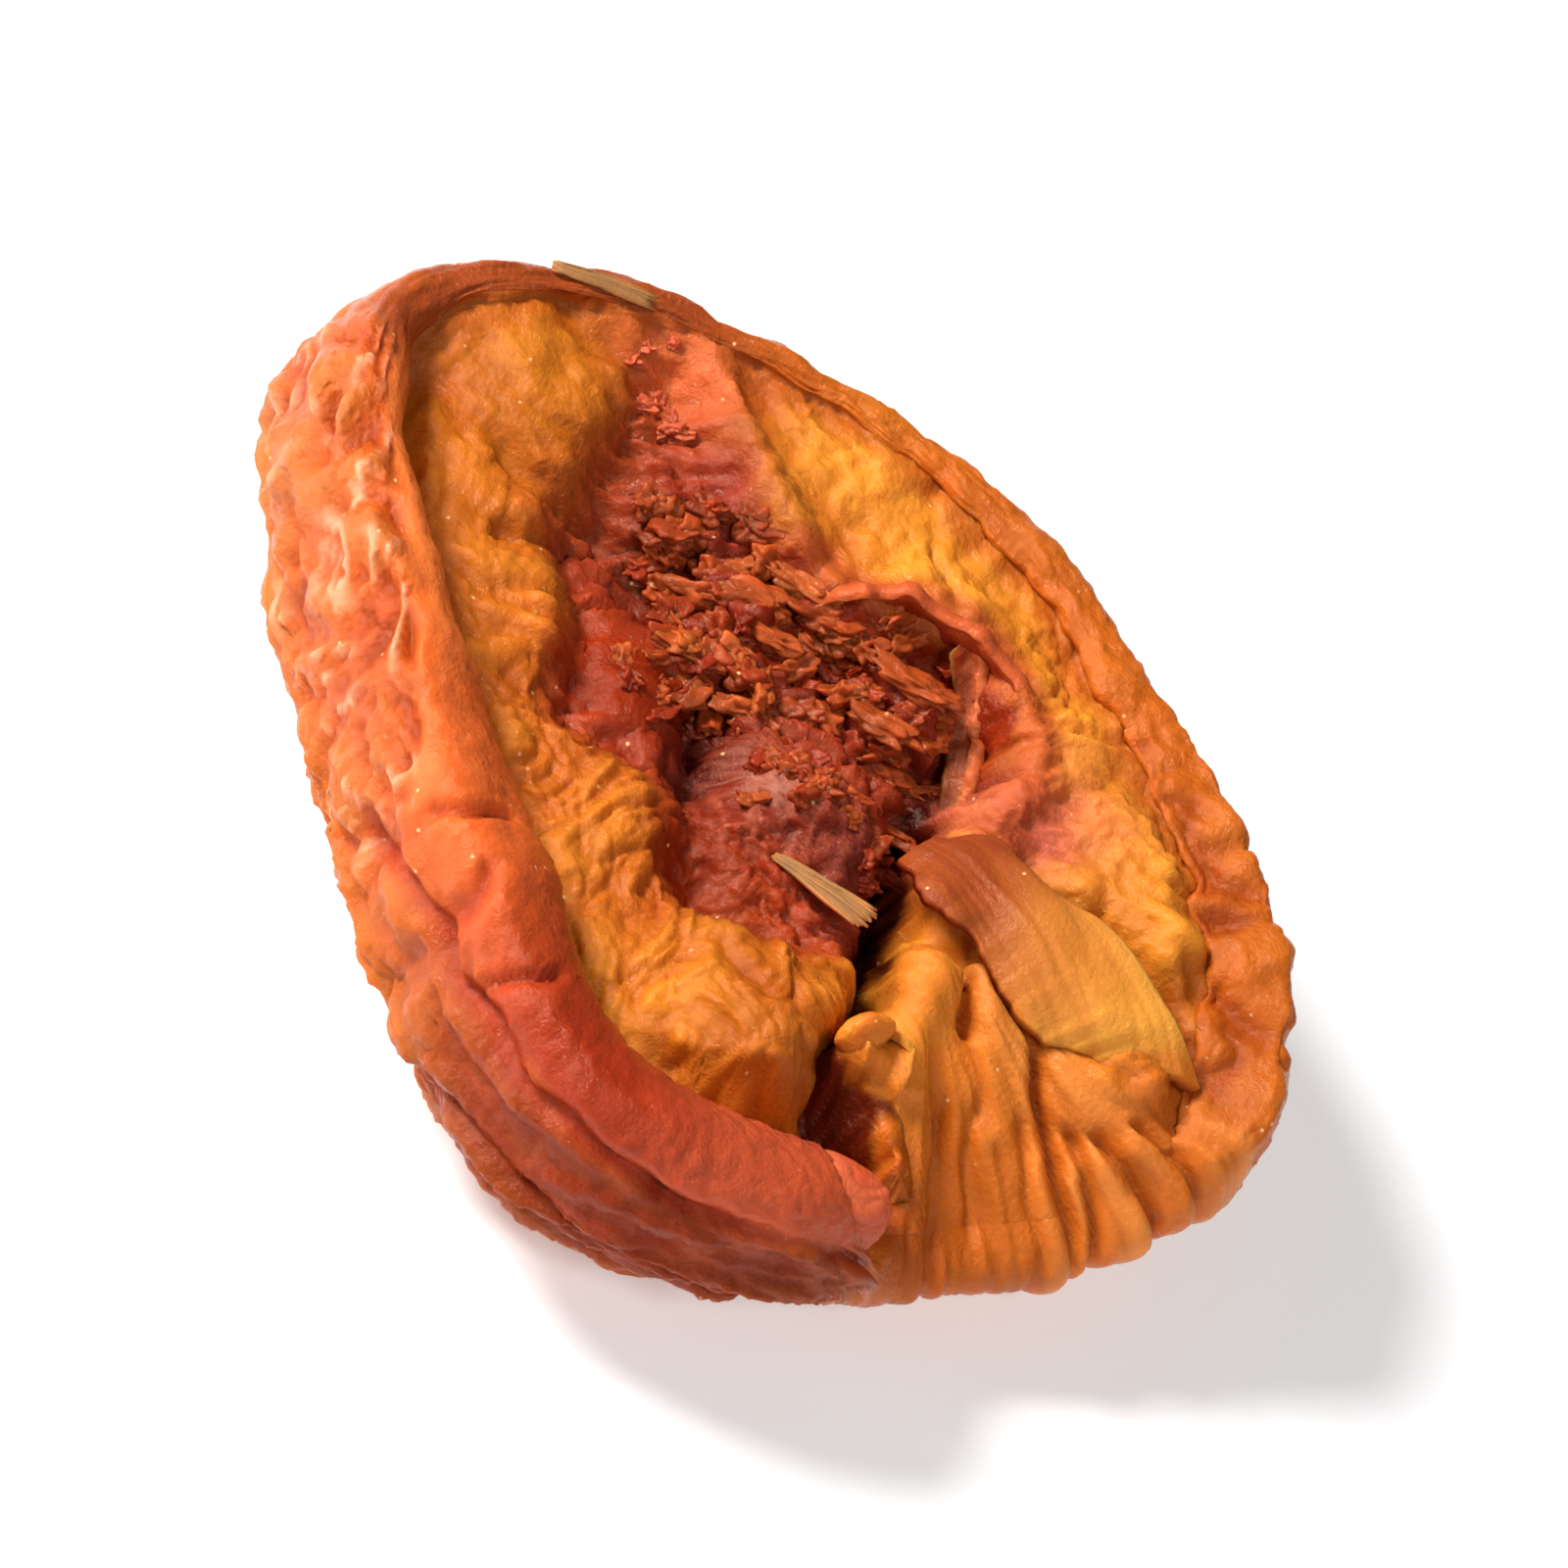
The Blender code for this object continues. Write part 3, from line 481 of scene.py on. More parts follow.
shell = ball(GRID)
body_mesh = bpy.data.meshes.new("peach_half")
shell.to_mesh(body_mesh)
shell.free()
print("ball:", len(body_mesh.polygons), "faces")

# %% Lay the ball on the peach
def body_points(angle, share):
    """Places on the half, in millimetres, without its fine wrinkles."""
    crest_r, crest_z, inner, outside, deep = (round_the_rim(c, angle) for c in RIM_COLUMNS)
    bare = openness(angle)

    # Flesh, from the middle out to the crease under the roll
    crease_r, crease_z = crease(angle)
    r = crease_r * np.clip(share / FLESH_END, 0.0, 1.0)
    x, y = r * np.cos(angle), r * np.sin(angle)
    own = soft_step(0.0, FLESH_BLEND, crease_r - r)
    z = blend(crease_z, flesh_height(x, y), blend(own, 1.0, bare))

    # The inner side of the roll, from the crease up to the crest
    step = np.clip((share - FLESH_END) / (CREST_AT - FLESH_END), 0.0, 1.0)
    turn = TUCK * (1.0 - step)
    on_roll = share > FLESH_END
    rolled_r, rolled_z = crest_r - inner * np.sin(turn), crest_z - deep + deep * np.cos(turn)
    bare_r, bare_z = crest_r - OPEN_RUN * (1.0 - step), crest_z + OPEN_FALL * (1.0 - step)
    r = np.where(on_roll, blend(rolled_r, bare_r, bare), r)
    z = np.where(on_roll, blend(rolled_z, bare_z, bare), z)

    # The outer side, down to the widest line
    lead = OPEN_LEAD * bare
    turn = lead + (0.5 * math.pi - lead) * np.clip((share - CREST_AT) / (BELLY_AT - CREST_AT), 0.0, 1.0)
    belly_z = np.minimum(BELLY_HEIGHT - RIM_HEIGHT, crest_z - BELLY_DROP)
    over = share > CREST_AT
    r = np.where(over, crest_r + outside * (np.sin(turn) - np.sin(lead)) / (1.0 - np.sin(lead)), r)
    z = np.where(over, belly_z + (crest_z - belly_z) * np.cos(turn) / np.cos(lead), z)

    # The rounded back
    turn = 0.5 * math.pi * np.clip((share - BELLY_AT) / (1.0 - BELLY_AT), 0.0, 1.0)
    under = share > BELLY_AT
    r = np.where(under, (crest_r + outside) * np.cos(turn) ** BACK_IN, r)
    z = np.where(under, belly_z - (RIM_HEIGHT + belly_z + REST_SINK) * np.sin(turn) ** BACK_DOWN, z)
    return np.column_stack([r * np.cos(angle) + CENTRE[0], r * np.sin(angle) + CENTRE[1], z + RIM_HEIGHT])


def read_points(mesh):
    """The vertices of a mesh, as rows of coordinates."""
    co = np.empty(len(mesh.vertices) * 3)
    mesh.vertices.foreach_get("co", co)
    return co.reshape(-1, 3)


def write_points(mesh, points):
    """Move the vertices of a mesh to rows of coordinates."""
    mesh.vertices.foreach_set("co", points.ravel())
    mesh.update()


def read_normals(mesh):
    """The way that the surface faces at each vertex."""
    normals = np.empty(len(mesh.vertices) * 3)
    mesh.vertex_normals.foreach_get("vector", normals)
    return normals.reshape(-1, 3)


angle, share = bearing_and_share(read_points(body_mesh))
smooth = body_points(angle, share)
write_points(body_mesh, smooth)
print("the smooth body is", (smooth.max(0) - smooth.min(0)).round(1), "mm")

# %% [markdown]
# ## Where is what
#
# The wrinkles and the colours both need to know what each point belongs to. Vertex groups painted by hand
# could say it. Here each part has a mask, an array that is 1 on its own part of the half and fades to 0 at
# the part's edge, so that the parts run into each other softly.

# %% Masks
x, y = smooth[:, 0] - CENTRE[0], smooth[:, 1] - CENTRE[1]
height = smooth[:, 2] - RIM_HEIGHT
degrees = np.degrees(angle)
flat_spots = with_height(x, y)
top_side = 1.0 - soft_step(FLESH_END - 0.01, FLESH_END + 0.02, share)

on_roll = soft_step(FLESH_END - 0.005, FLESH_END + 0.015, share)
fan = inside(x, y, FAN_EDGE, FAN_SLOPE) * (1.0 - soft_step(0.72, 0.86, share))
stray_x, stray_y = x + 1.1 * swell(flat_spots, 3.0, 41.0), y + 1.1 * swell(flat_spots, 3.0, 51.0)
pit = inside(x, y, PIT_EDGE, PIT_SLOPE) * top_side * (1.0 - fan)
stain = inside(stray_x, stray_y, PIT_EDGE, 2.6) * top_side * (1.0 - fan)
flesh = (1.0 - on_roll) * (1.0 - fan)
thick_roll = soft_step(-176, -164, degrees) * (1.0 - soft_step(-22, -17, degrees))
rest_spot = soft_step(0.89, 0.94, share)
print("points in the pit:", int((pit > 0.5).sum()), "of", len(pit))

# %% [markdown]
# ## Wrinkles of the skin
#
# The thick roll is pebbly, because skin and flesh dried together there, with worm-like crests on it,
# which get pale painted highlights in the colours below.
# Its inner band is calm. Lower down and on the back the skin has long wrinkles that run round the half,
# like the folds of a sack. A bump in the material could draw them, but bumps vanish at the outline, so the
# wrinkles are real: a number for each point says how far it moves along the way that it faces.

# %% Relief of the skin
# Two ways over the skin in mm: down from the middle of the cut face, and round the rim
down = np.interp(share, (0.0, FLESH_END, CREST_AT, BELLY_AT, 1.0), (0.0, 18.0, 28.0, 37.0, 63.0))
ring = RIM_RADIUS * angle
circle = np.column_stack([np.cos(angle) * RIM_RADIUS, np.sin(angle) * RIM_RADIUS])
unrolled = np.column_stack([circle, down])
spots = smooth + 7.3

# Creases of the thick roll: degrees round the rim and mm down the skin, half-width, depth and fade
ROLL_CREASES = (
    (
        (
            (-118, 35.5), (-105, 34.6), (-96, 34.2), (-88, 33.8), (-79, 33.4), (-69, 33.2), (-50, 33.0),
            (-26, 33.4),
        ),
        0.42, 1.1, 0.12,
    ),
    (((-104, 32.2), (-102, 29.3), (-101, 26.3), (-99, 24.6)), 0.32, 0.7, 0.2),
    (((-81, 33.6), (-77, 30.4), (-74, 28.3), (-72, 26.0)), 0.32, 0.7, 0.2),
    (((-91, 33.6), (-88, 31.6), (-89, 29.6), (-92, 28.0)), 0.6, 0.7, 0.2),
    (((-64, 37.6), (-54, 36.4), (-40, 36.6)), 0.35, 0.8, 0.2),
)
roll_lines = [
    ([(RIM_RADIUS * math.radians(a), d) for a, d in line], half_width, depth, fade)
    for line, half_width, depth, fade in ROLL_CREASES
]
wobble = 0.5 * swell(spots, 3.0, 61.0)
roll_cut, _ = traced(ring + wobble, down + wobble, roll_lines)
print("deepest crease of the roll, in mm:", roll_cut.max().round(2))

# %% Pebbles, folds and petals
# The calm band on the inner side of the thick roll, and the pebbles with their crests outside it
band_edge = np.interp(degrees, (-180, -150, -122, -104, -30), (26.5, 27.5, 28.5, 32.5, 33.2)) + 1.6 * wobble
smooth_band = thick_roll * (1.0 - soft_step(-0.8, 1.2, down - band_edge))
grains = 0.66 * puffs(spots, 3.6) + 0.20 * puffs(spots, 1.6, 5.0) - 0.30
worm_crests = 1.0 - puffs(unrolled, (3.4, 3.4, 2.3), 9.0, 0.9)
fine_crests = 1.0 - puffs(spots, 1.2, 15.0, 1.0)
grains = grains + 0.46 * worm_crests + 0.18 * fine_crests - 0.36

# Long folds of the back
folds = 0.85 * puffs(unrolled, (8.0, 8.0, 2.3), 2.0) + 0.30 * puffs(unrolled, (3.4, 3.4, 1.2), 6.0)
folds = folds + 0.10 * puffs(spots, 0.8, 2.0) + 0.14 * (1.0 - puffs(spots, 1.0, 19.0, 0.9)) - 0.62

# Small folds across the thin rim, drawn together at the corner beyond the flap
petals = 0.18 * puffs(np.column_stack([circle, 0.34 * down]), 2.6, 3.0) + 0.26 * swell(spots, 4.0, 6.0)
petals = petals + 0.13 * puffs(np.column_stack([circle, 0.6 * down]), 1.3, 7.0)
petals = petals + 0.06 * puffs(spots, 0.7, 5.0) - 0.20
gathered = soft_step(22, 32, degrees) * (1.0 - soft_step(58, 84, degrees))
gathers = 0.60 * puffs(np.column_stack([circle, 0.22 * down]), 2.6, 13.0) - 0.20
petals = petals + gathered * gathers
inner_side = np.clip((share - FLESH_END) / (CREST_AT - FLESH_END), 0.0, 1.0)
petals = petals - 0.55 * gathered * np.sin(math.pi * inner_side)

# Each kind on its own part
upper_roll = thick_roll * (1.0 - soft_step(-118, -84, degrees)) * (1.0 - 0.7 * soft_step(36.0, 41.0, down))
near_rim = (1.0 - thick_roll) * (1.0 - soft_step(30.0, 36.0, down))
wrinkled = blend(blend(folds, petals, near_rim), grains, upper_roll)
calm = 0.10 * puffs(spots, 1.2, 3.0) + 0.07 * puffs(spots, 0.6, 4.0) + 0.35 * swell(spots, 4.5, 5.0) - 0.02
skin_relief = blend(wrinkled, calm, smooth_band) * soft_step(18.0, 22.0, down) - roll_cut * thick_roll
skin_relief = skin_relief * (1.0 - fan) * (1.0 - rest_spot) * on_roll
print("skin relief, in mm:", skin_relief.min().round(2), "to", skin_relief.max().round(2))

# %% [markdown]
# ## Folds of the flesh and the torn pit
#
# As the flesh dried it drew together towards the pit, so its fine folds all point there. The pit floor is
# ragged where the stone tore away, but its mounds are smooth and its middle is a mass of fibres. The same
# puffy noise makes them all: laid along a bearing it gives strands, and squeezed one way it gives shreds.

# %% Folds of the flesh
to_pit_x, to_pit_y = x + 6.0, y - 5.0
pit_bearing = np.arctan2(to_pit_y * 1.3, to_pit_x)
pit_distance = np.hypot(to_pit_x, to_pit_y * 1.3)
radial = np.column_stack([np.cos(pit_bearing) * 13.0, np.sin(pit_bearing) * 13.0, 0.34 * pit_distance])
wander = 1.3 * swell(flat_spots, 4.0)[:, None]
strands = puffs(radial + wander, (0.70, 0.70, 1.5), 2.0)
fine_strands = puffs(radial + wander, (0.38, 0.38, 1.0), 5.0)
bundles = puffs(radial + wander, (2.0, 2.0, 2.2), 8.0)
crinkle = puffs(flat_spots, 1.4, 1.0, 0.8)
fine_crinkle = puffs(flat_spots, 0.7, 6.0, 0.8)
rolling = swell(flat_spots, 4.5)
flesh_relief = 0.17 * strands + 0.09 * fine_strands + 0.40 * bundles + 0.16 * crinkle + 0.06 * fine_crinkle
flesh_relief = flesh_relief + 0.42 * rolling - 0.45
print("flesh relief, in mm:", flesh_relief.min().round(2), "to", flesh_relief.max().round(2))

# %% Shreds and fibres of the pit
grain_way = np.column_stack([x * 0.59 + y * 0.81, y * 0.59 - x * 0.81, 0 * x])
shreds = puffs(grain_way, (2.4, 1.3, 1.0), 3.0, 0.9)
fine_shreds = puffs(grain_way, (1.1, 0.55, 1.0), 6.0, 0.9)
beads = puffs(flat_spots, 0.6, 11.0)
calm_pit = np.clip(mound(x, y, (-9.4, -1.2), (2.4, 2.2)) + mound(x, y, (1.4, -5.2), (3.0, 1.8)), 0, 1)
torn_part = mound(x, y, (-9.0, 7.0), (4.2, 3.0), 20) + mound(x, y, (-3.0, 11.5), (3.4, 2.2), 10)
torn_part = np.clip(torn_part + 0.5 * mound(x, y, (-17.5, 7.0), (4.6, 2.6), -15), 0, 1)
pit_relief = (0.55 + 0.75 * torn_part) * (shreds - 0.5) + (0.22 + 0.3 * torn_part) * (fine_shreds - 0.4)
pit_relief = (1.0 - 0.60 * calm_pit) * (pit_relief + 0.18 * (beads - 0.4))
middle_mass = mound(x, y, (0.4, 2.2), (3.4, 2.6), 30)
fibre_way = np.column_stack([x * 0.82 - y * 0.57, y * 0.82 + x * 0.57, 0 * x])
fibres = puffs(fibre_way, (3.4, 0.60, 1.0), 4.0, 0.6)
mass_lumps = swell(flat_spots, 2.2, 71.0)
mass_grain = puffs(flat_spots, 0.8, 23.0, 0.9)
mass_relief = 0.22 * (fibres - 0.4) + 0.7 * mass_lumps + 0.22 * (mass_grain - 0.4)
pit_relief = (1.0 - 0.6 * middle_mass) * pit_relief + middle_mass * mass_relief
print("pit relief, in mm:", pit_relief.min().round(2), "to", pit_relief.max().round(2))

# %% Push the surface in and out
fan_relief = pleats(x, y)
relief = skin_relief + flesh * blend(flesh_relief, pit_relief, pit) + fan * fan_relief
points = smooth + read_normals(body_mesh) * relief[:, None]
points[:, 2] = np.maximum(points[:, 2], 0.0)

# Then the wrinkled body is brought to the measured solid's box
box_low, box_high = (np.array(corner) / MM for corner in solid_box)
low, high = points.min(0), points.max(0)
points = box_low + (points - low) * (box_high - box_low) / (high - low)
write_points(body_mesh, points * MM)
print("with its relief the body is", (points.max(0) - points.min(0)).round(1), "mm")

# %% [markdown]
# ## Colour
#
# The colours follow the anatomy: amber flesh, coral skin where the sun blushed the fruit, and crimson
# where the stone tore away. Light and shade are painted in as well: creases and hollows are darkened as
# painted shade, tops of folds are lightened as painted light, and a few pale marks are painted highlights.
# A picture wrapped round the half would slide off its folds. So the colours are worked out for each point
# with the same masks, laid on one over the other as thin paints are, and stored on the mesh under one
# name. The fine grain comes later, in the material.

# %% Flesh
def paint(base, colour, amount):
    """Lay a colour over others; amount is how much of it covers each point, from 0 to 1."""
    return base + (np.array(colour) - base) * np.clip(amount, 0.0, 1.0)[:, None]


tint = np.tile(np.array((0.62, 0.170, 0.012)), (len(x), 1))
# Painted light on the tops of the flesh's folds, and painted shade in its hollows and between its strands
tint = paint(tint, (0.80, 0.275, 0.022), soft_step(-0.05, 0.4, flesh_relief))
tint = paint(tint, (0.44, 0.080, 0.006), 0.8 * soft_step(-0.1, -0.5, flesh_relief))
shade_between_strands = soft_step(0.30, 0.08, strands) * soft_step(0.35, 0.1, bundles)
tint = paint(tint, (0.50, 0.100, 0.008), 0.45 * shade_between_strands)
# The strip beyond the pit is lighter, partly its own colour and partly painted light where it faces the
# lamps; the side by the thick roll is darker, as painted shade
LIT_STRIP = ((-16, 12), (-8, 13.5), (-4, 17.5), (8, 13), (20, 14), (24, 18), (4, 24), (-12, 22), (-20, 16))
SHADED_SIDE = ((-24, -8), (-20, 2), (-14, -1), (-8, -4), (4, -7), (4, -16), (-14, -16))
tint = paint(tint, (0.86, 0.300, 0.026), 0.6 * inside(x, y, LIT_STRIP, 3.0))
tint = paint(tint, (0.50, 0.095, 0.008), 0.45 * inside(x, y, SHADED_SIDE, 3.0))
# Painted shade along the crease where the rim overhangs the flesh
shade_at_rim_edge = soft_step(2.6, 0.2, crease(angle)[0] - np.hypot(x, y) + 0.8 * swell(flat_spots, 2.0, 5.0))
tint = paint(tint, (0.46, 0.085, 0.010), 0.75 * shade_at_rim_edge * (1.0 - thick_roll))
print("mean colour of the flesh:", tint.mean(0).round(2))

# %% Pit
tint = paint(tint, (0.52, 0.075, 0.014), 0.8 * stain)
tint = paint(tint, (0.29, 0.019, 0.006), 0.9 * stain * pit)
# Painted light on the tops of the shreds and painted shade in the gaps between them
tint = paint(tint, (0.44, 0.060, 0.016), 0.6 * pit * soft_step(0.35, 0.9, 0.6 * shreds + 0.5 * fine_shreds))
tint = paint(tint, (0.10, 0.004, 0.001), 0.85 * pit * soft_step(0.30, 0.05, 0.6 * shreds + 0.4 * fine_shreds))
tint = paint(tint, (0.20, 0.011, 0.004), 0.7 * torn_part * pit)

# Place, reach along and across, turn in degrees, colour and cover. The near-black patches (the purple
# hollow, the deep pocket, the pocket after it and the gap before the lip) are painted shade.
PATCHES = (
    ((-18.6, 6.2), (4.6, 3.0), -35, (0.27, 0.015, 0.017), 0.92),  # crimson upper pit
    ((-16.8, 9.0), (3.2, 1.7), 10, (0.30, 0.024, 0.016), 0.85),  # its far wall
    ((-17.6, 1.6), (1.8, 1.5), 40, (0.34, 0.036, 0.020), 0.85),  # its fold behind the tip
    ((-23.6, 10.6), (2.4, 1.4), -10, (0.80, 0.160, 0.045), 1.0),  # coral beside the tip
    ((-14.2, 4.4), (1.7, 1.4), 20, (0.09, 0.007, 0.003), 0.90),  # purple hollow
    ((-9.6, -1.4), (2.6, 2.2), 10, (0.31, 0.019, 0.001), 1.0),  # amber mound
    ((-5.0, 0.7), (3.2, 1.5), -42, (0.06, 0.001, 0.001), 1.0),  # deep pocket
    ((-5.6, 9.4), (1.4, 1.1), 30, (0.05, 0.002, 0.001), 1.0),
    ((1.3, 11.2), (0.9, 2.2), -30, (0.07, 0.003, 0.002), 0.90),  # gap before the lip
    ((0.2, 2.4), (2.8, 2.2), 30, (0.27, 0.030, 0.012), 0.90),  # fibrous mass
    ((4.4, 3.4), (2.0, 1.3), -50, (0.17, 0.030, 0.024), 0.90),  # its grey side
    ((0.8, -5.0), (3.0, 1.9), 0, (0.26, 0.014, 0.001), 1.0),  # lower amber mounds
    ((4.6, -4.0), (1.6, 1.3), 0, (0.34, 0.036, 0.004), 0.85),
    ((6.2, 12.6), (2.6, 2.2), 50, (0.57, 0.105, 0.065), 0.9),  # pink beyond the lip
)
for at, reach, turn, colour, amount in PATCHES:
    tint = paint(tint, colour, amount * mound(stray_x, stray_y, at, reach, turn) * top_side * (1.0 - fan))

on_mass = middle_mass * pit
# On the fibrous mass: pale fibres, partly painted light on their tops, and painted shade between the fibres
# and between its lumps
tint = paint(tint, (0.46, 0.100, 0.045), 0.7 * on_mass * soft_step(0.45, 0.9, fibres))
tint = paint(tint, (0.16, 0.012, 0.006), 0.7 * on_mass * soft_step(0.25, 0.05, fibres))
tint = paint(tint, (0.13, 0.007, 0.003), 0.65 * on_mass * soft_step(0.05, -0.45, mass_lumps))
# A pale painted sheen on the crest of the mass
painted_sheen_crest = mound(x, y, (-1.4, 1.8), (1.6, 1.0), 30) * pit * soft_step(0.2, 0.6, fibres)
tint = paint(tint, (0.60, 0.210, 0.130), 0.55 * painted_sheen_crest)

# Crimson before the lip and coral behind it
beside_lip, along_lip, lip_side = beside_path(x, y, LIP)
outward = lip_side * beside_lip + 0.3 * swell(flat_spots, 1.5, 3.0)
by_lip = top_side * (1.0 - fan) * soft_step(2.6, 1.2, beside_lip)
before_lip = by_lip * soft_step(0.4, -0.4, outward) * soft_step(0.85, 0.6, along_lip)
tint = paint(tint, (0.26, 0.014, 0.003), 0.95 * before_lip)
tint = paint(tint, (0.50, 0.082, 0.020), 0.8 * by_lip * soft_step(-0.4, 0.4, outward))
tint = paint(tint, (0.44, 0.080, 0.005), 0.75 * mound(x, y, (11.4, -7.9), (5.0, 3.4), -20) * (1.0 - fan))
tint = paint(tint, (0.44, 0.095, 0.004), 0.60 * mound(x, y, (-24.0, 2.0), (5.0, 6.0)))
# Painted shadow along the seam, beside the flap's raised far edge
beside_seam, _, _ = beside_path(x, y, FLAP_SEAM)
tint = paint(tint, (0.26, 0.024, 0.003), 0.85 * np.exp(-((beside_seam / 0.8) ** 2)) * top_side)
print("patches in the pit:", len(PATCHES))

# %% Skin
skin_tint = np.tile(np.array((0.52, 0.110, 0.008)), (len(x), 1))
skin_tint = paint(skin_tint, (0.62, 0.165, 0.013), 0.7 * soft_step(0.1, 0.8, swell(spots, 6.0, 30.0)))
skin_tint = paint(skin_tint, (0.54, 0.088, 0.011), 0.9 * thick_roll * soft_step(39.0, 34.0, down))

# The roll: pebbles with pale painted highlights on their crests, a coral band that turns red towards its end,
# and deep red below
# Painted light on the pebbles' tops and painted shade in their creases
skin_tint = paint(skin_tint, (0.54, 0.135, 0.020), 0.8 * upper_roll * soft_step(0.0, 0.6, grains))
skin_tint = paint(skin_tint, (0.42, 0.040, 0.004), 0.85 * upper_roll * soft_step(-0.05, -0.4, grains))
# Pale painted highlights on the worm-like crests
painted_highlight_crests = soft_step(0.60, 0.95, 0.7 * worm_crests + 0.3 * fine_crests)
painted_highlight_crests = painted_highlight_crests * soft_step(-0.6, 0.5, swell(spots, 3.0, 81.0))
skin_tint = paint(skin_tint, (0.90, 0.46, 0.26), 0.75 * painted_highlight_crests * upper_roll)
skin_tint = paint(skin_tint, (0.76, 0.135, 0.022), 0.9 * smooth_band)
# Painted light: the upper end of the calm band, which lies in shade, is painted lighter
skin_tint = paint(skin_tint, (0.95, 0.215, 0.040), 0.9 * smooth_band * soft_step(-120, -150, degrees))
red_end = soft_step(-106, -66, degrees)
skin_tint = paint(skin_tint, (0.31, 0.017, 0.004), 0.90 * red_end * smooth_band)
skin_tint = paint(skin_tint, (0.62, 0.098, 0.034), 0.85 * soft_step(-60, -38, degrees) * smooth_band)
# Deep red low on the roll's end, partly its own colour and partly painted shade on its lower side
low_end = red_end * (1.0 - smooth_band) * thick_roll
skin_tint = paint(skin_tint, (0.22, 0.013, 0.001), 0.90 * low_end * soft_step(54.0, 40.0, down))

# The dark tip, the blushed back, painted light on the tops of the wrinkles, and painted shade between
# them and in the creases of the roll
tip = (soft_step(140, 156, degrees) + soft_step(-164, -174, degrees)) * soft_step(34.0, 29.0, down)
skin_tint = paint(skin_tint, (0.32, 0.052, 0.012), 0.85 * tip)
under = soft_step(38.0, 48.0, down)
blush = soft_step(0.05, 0.7, swell(smooth, 14.0, 3.0)) * under
skin_tint = paint(skin_tint, (0.34, 0.036, 0.006), 0.75 * blush)
# Painted light on the tops of the wrinkles
lit = soft_step(0.0, 0.7, wrinkled) * (1.0 - smooth_band) * (1.0 - upper_roll)
skin_tint = paint(skin_tint, (0.66, 0.180, 0.016), 0.45 * lit * (1.0 - 0.7 * low_end))
# Painted shade between the wrinkles and in the creases of the roll
between = soft_step(-0.12, -0.5, wrinkled) * (1.0 - smooth_band)
skin_tint = paint(skin_tint, (0.36, 0.050, 0.005), 0.75 * between)
skin_tint = paint(skin_tint, (0.36, 0.026, 0.006), 0.8 * soft_step(0.15, 0.9, roll_cut) * thick_roll)
tint = blend(tint, skin_tint, on_roll[:, None])
print("mean colour of the skin:", skin_tint.mean(0).round(2))

# %% Pleats
fan_tint = np.tile(np.array((0.68, 0.165, 0.012)), (len(x), 1))
# Painted light on the pleats' tops
fan_tint = paint(fan_tint, (0.78, 0.230, 0.022), soft_step(0.1, 0.6, fan_relief))
fan_tint = paint(fan_tint, (0.54, 0.104, 0.006), 0.7 * soft_step(7.0, 15.0, from_fan_centre(x, y)[0]))
# The right part of the fan is lighter, partly its own paler colour and partly painted light on its pleats'
# tops
right_part = soft_step(2.0, 5.0, y)
fan_tint = paint(fan_tint, (0.72, 0.190, 0.020), 0.5 * right_part)
fan_tint = paint(fan_tint, (0.92, 0.310, 0.055), 0.7 * right_part * soft_step(-0.05, 0.35, fan_relief))
# Painted shade in the creases between the pleats
fan_tint = paint(fan_tint, (0.34, 0.045, 0.003), 0.9 * soft_step(-0.3, -1.1, fan_relief))
# Painted shade in the hollow under the flap's tab
beside_hollow, _, _ = beside_path(x, y, TAB_HOLLOW)
fan_tint = paint(fan_tint, (0.16, 0.010, 0.002), 0.95 * np.exp(-((beside_hollow / 1.5) ** 2)))
tint = blend(tint, fan_tint, fan[:, None])
print("mean colour of the pleats:", fan_tint.mean(0).round(2))

# %% [markdown]
# Deep folds look darker than the lamps make them on these shallow forms, so painted shade is added. The
# clefts get painted shade along their lines. Below the head of the fan lies a wall in painted shade: it
# reaches down from a border line, and a sloping limit keeps the shade off the flesh that stands in front
# of it.

# %% Painted shade in the clefts and below the head of the fan
CLEFT_PAINTED_SHADES = ((0.03, 0.001, 0.001), (0.10, 0.006, 0.001), (0.08, 0.003, 0.001))
for (line, half_width, _, _), dark in zip(CLEFTS, CLEFT_PAINTED_SHADES):
    beside, along, _ = beside_path(x, y, line)
    shade = np.exp(-0.5 * (beside / (0.85 * half_width)) ** 2)
    shade = shade * (1.0 - soft_step(0.85, 1.0, along)) * top_side
    tint = paint(tint, dark, shade * (1.0 - 0.9 * mound(x, y, KNOB[0], (0.9, 0.8))))

FAN_BORDER = (
    (12.6, -2.4), (12.9, -4.0), (13.9, -4.8), (15.0, -4.3), (16.1, -3.5), (17.7, -3.1), (19.2, -3.1),
    (20.8, -4.2), (22.0, -6.2),
)
from_border, along_border, border_side = beside_path(x, y, FAN_BORDER)
below = -border_side * from_border + 0.15 * swell(flat_spots, 1.2, 9.0)
reach = np.interp(x, (12.5, 14.0, 16.0, 22.0), (0.7, 1.4, 4.2, 4.0))
in_shade = soft_step(-0.20, 0.25, below) * soft_step(1.0, 0.6, from_border / reach) * top_side
shade_top = np.interp(x, (13.6, 14.6, 16.5, 18.5, 20.0), (-1.8, -2.6, -4.0, -6.0, -7.4))
in_shade = in_shade * soft_step(0.3, -0.5, height - shade_top)
wall = mound(x, y, (18.4, -4.2), (2.8, 1.4)) * soft_step(-0.4, 0.4, height - shade_top) * top_side
tint = paint(tint, (0.56, 0.120, 0.009), 0.9 * wall)
in_shade = in_shade * soft_step(0.0, 0.04, along_border) * soft_step(1.0, 0.97, along_border)
tint = paint(tint, (0.12, 0.008, 0.002), 0.97 * in_shade)

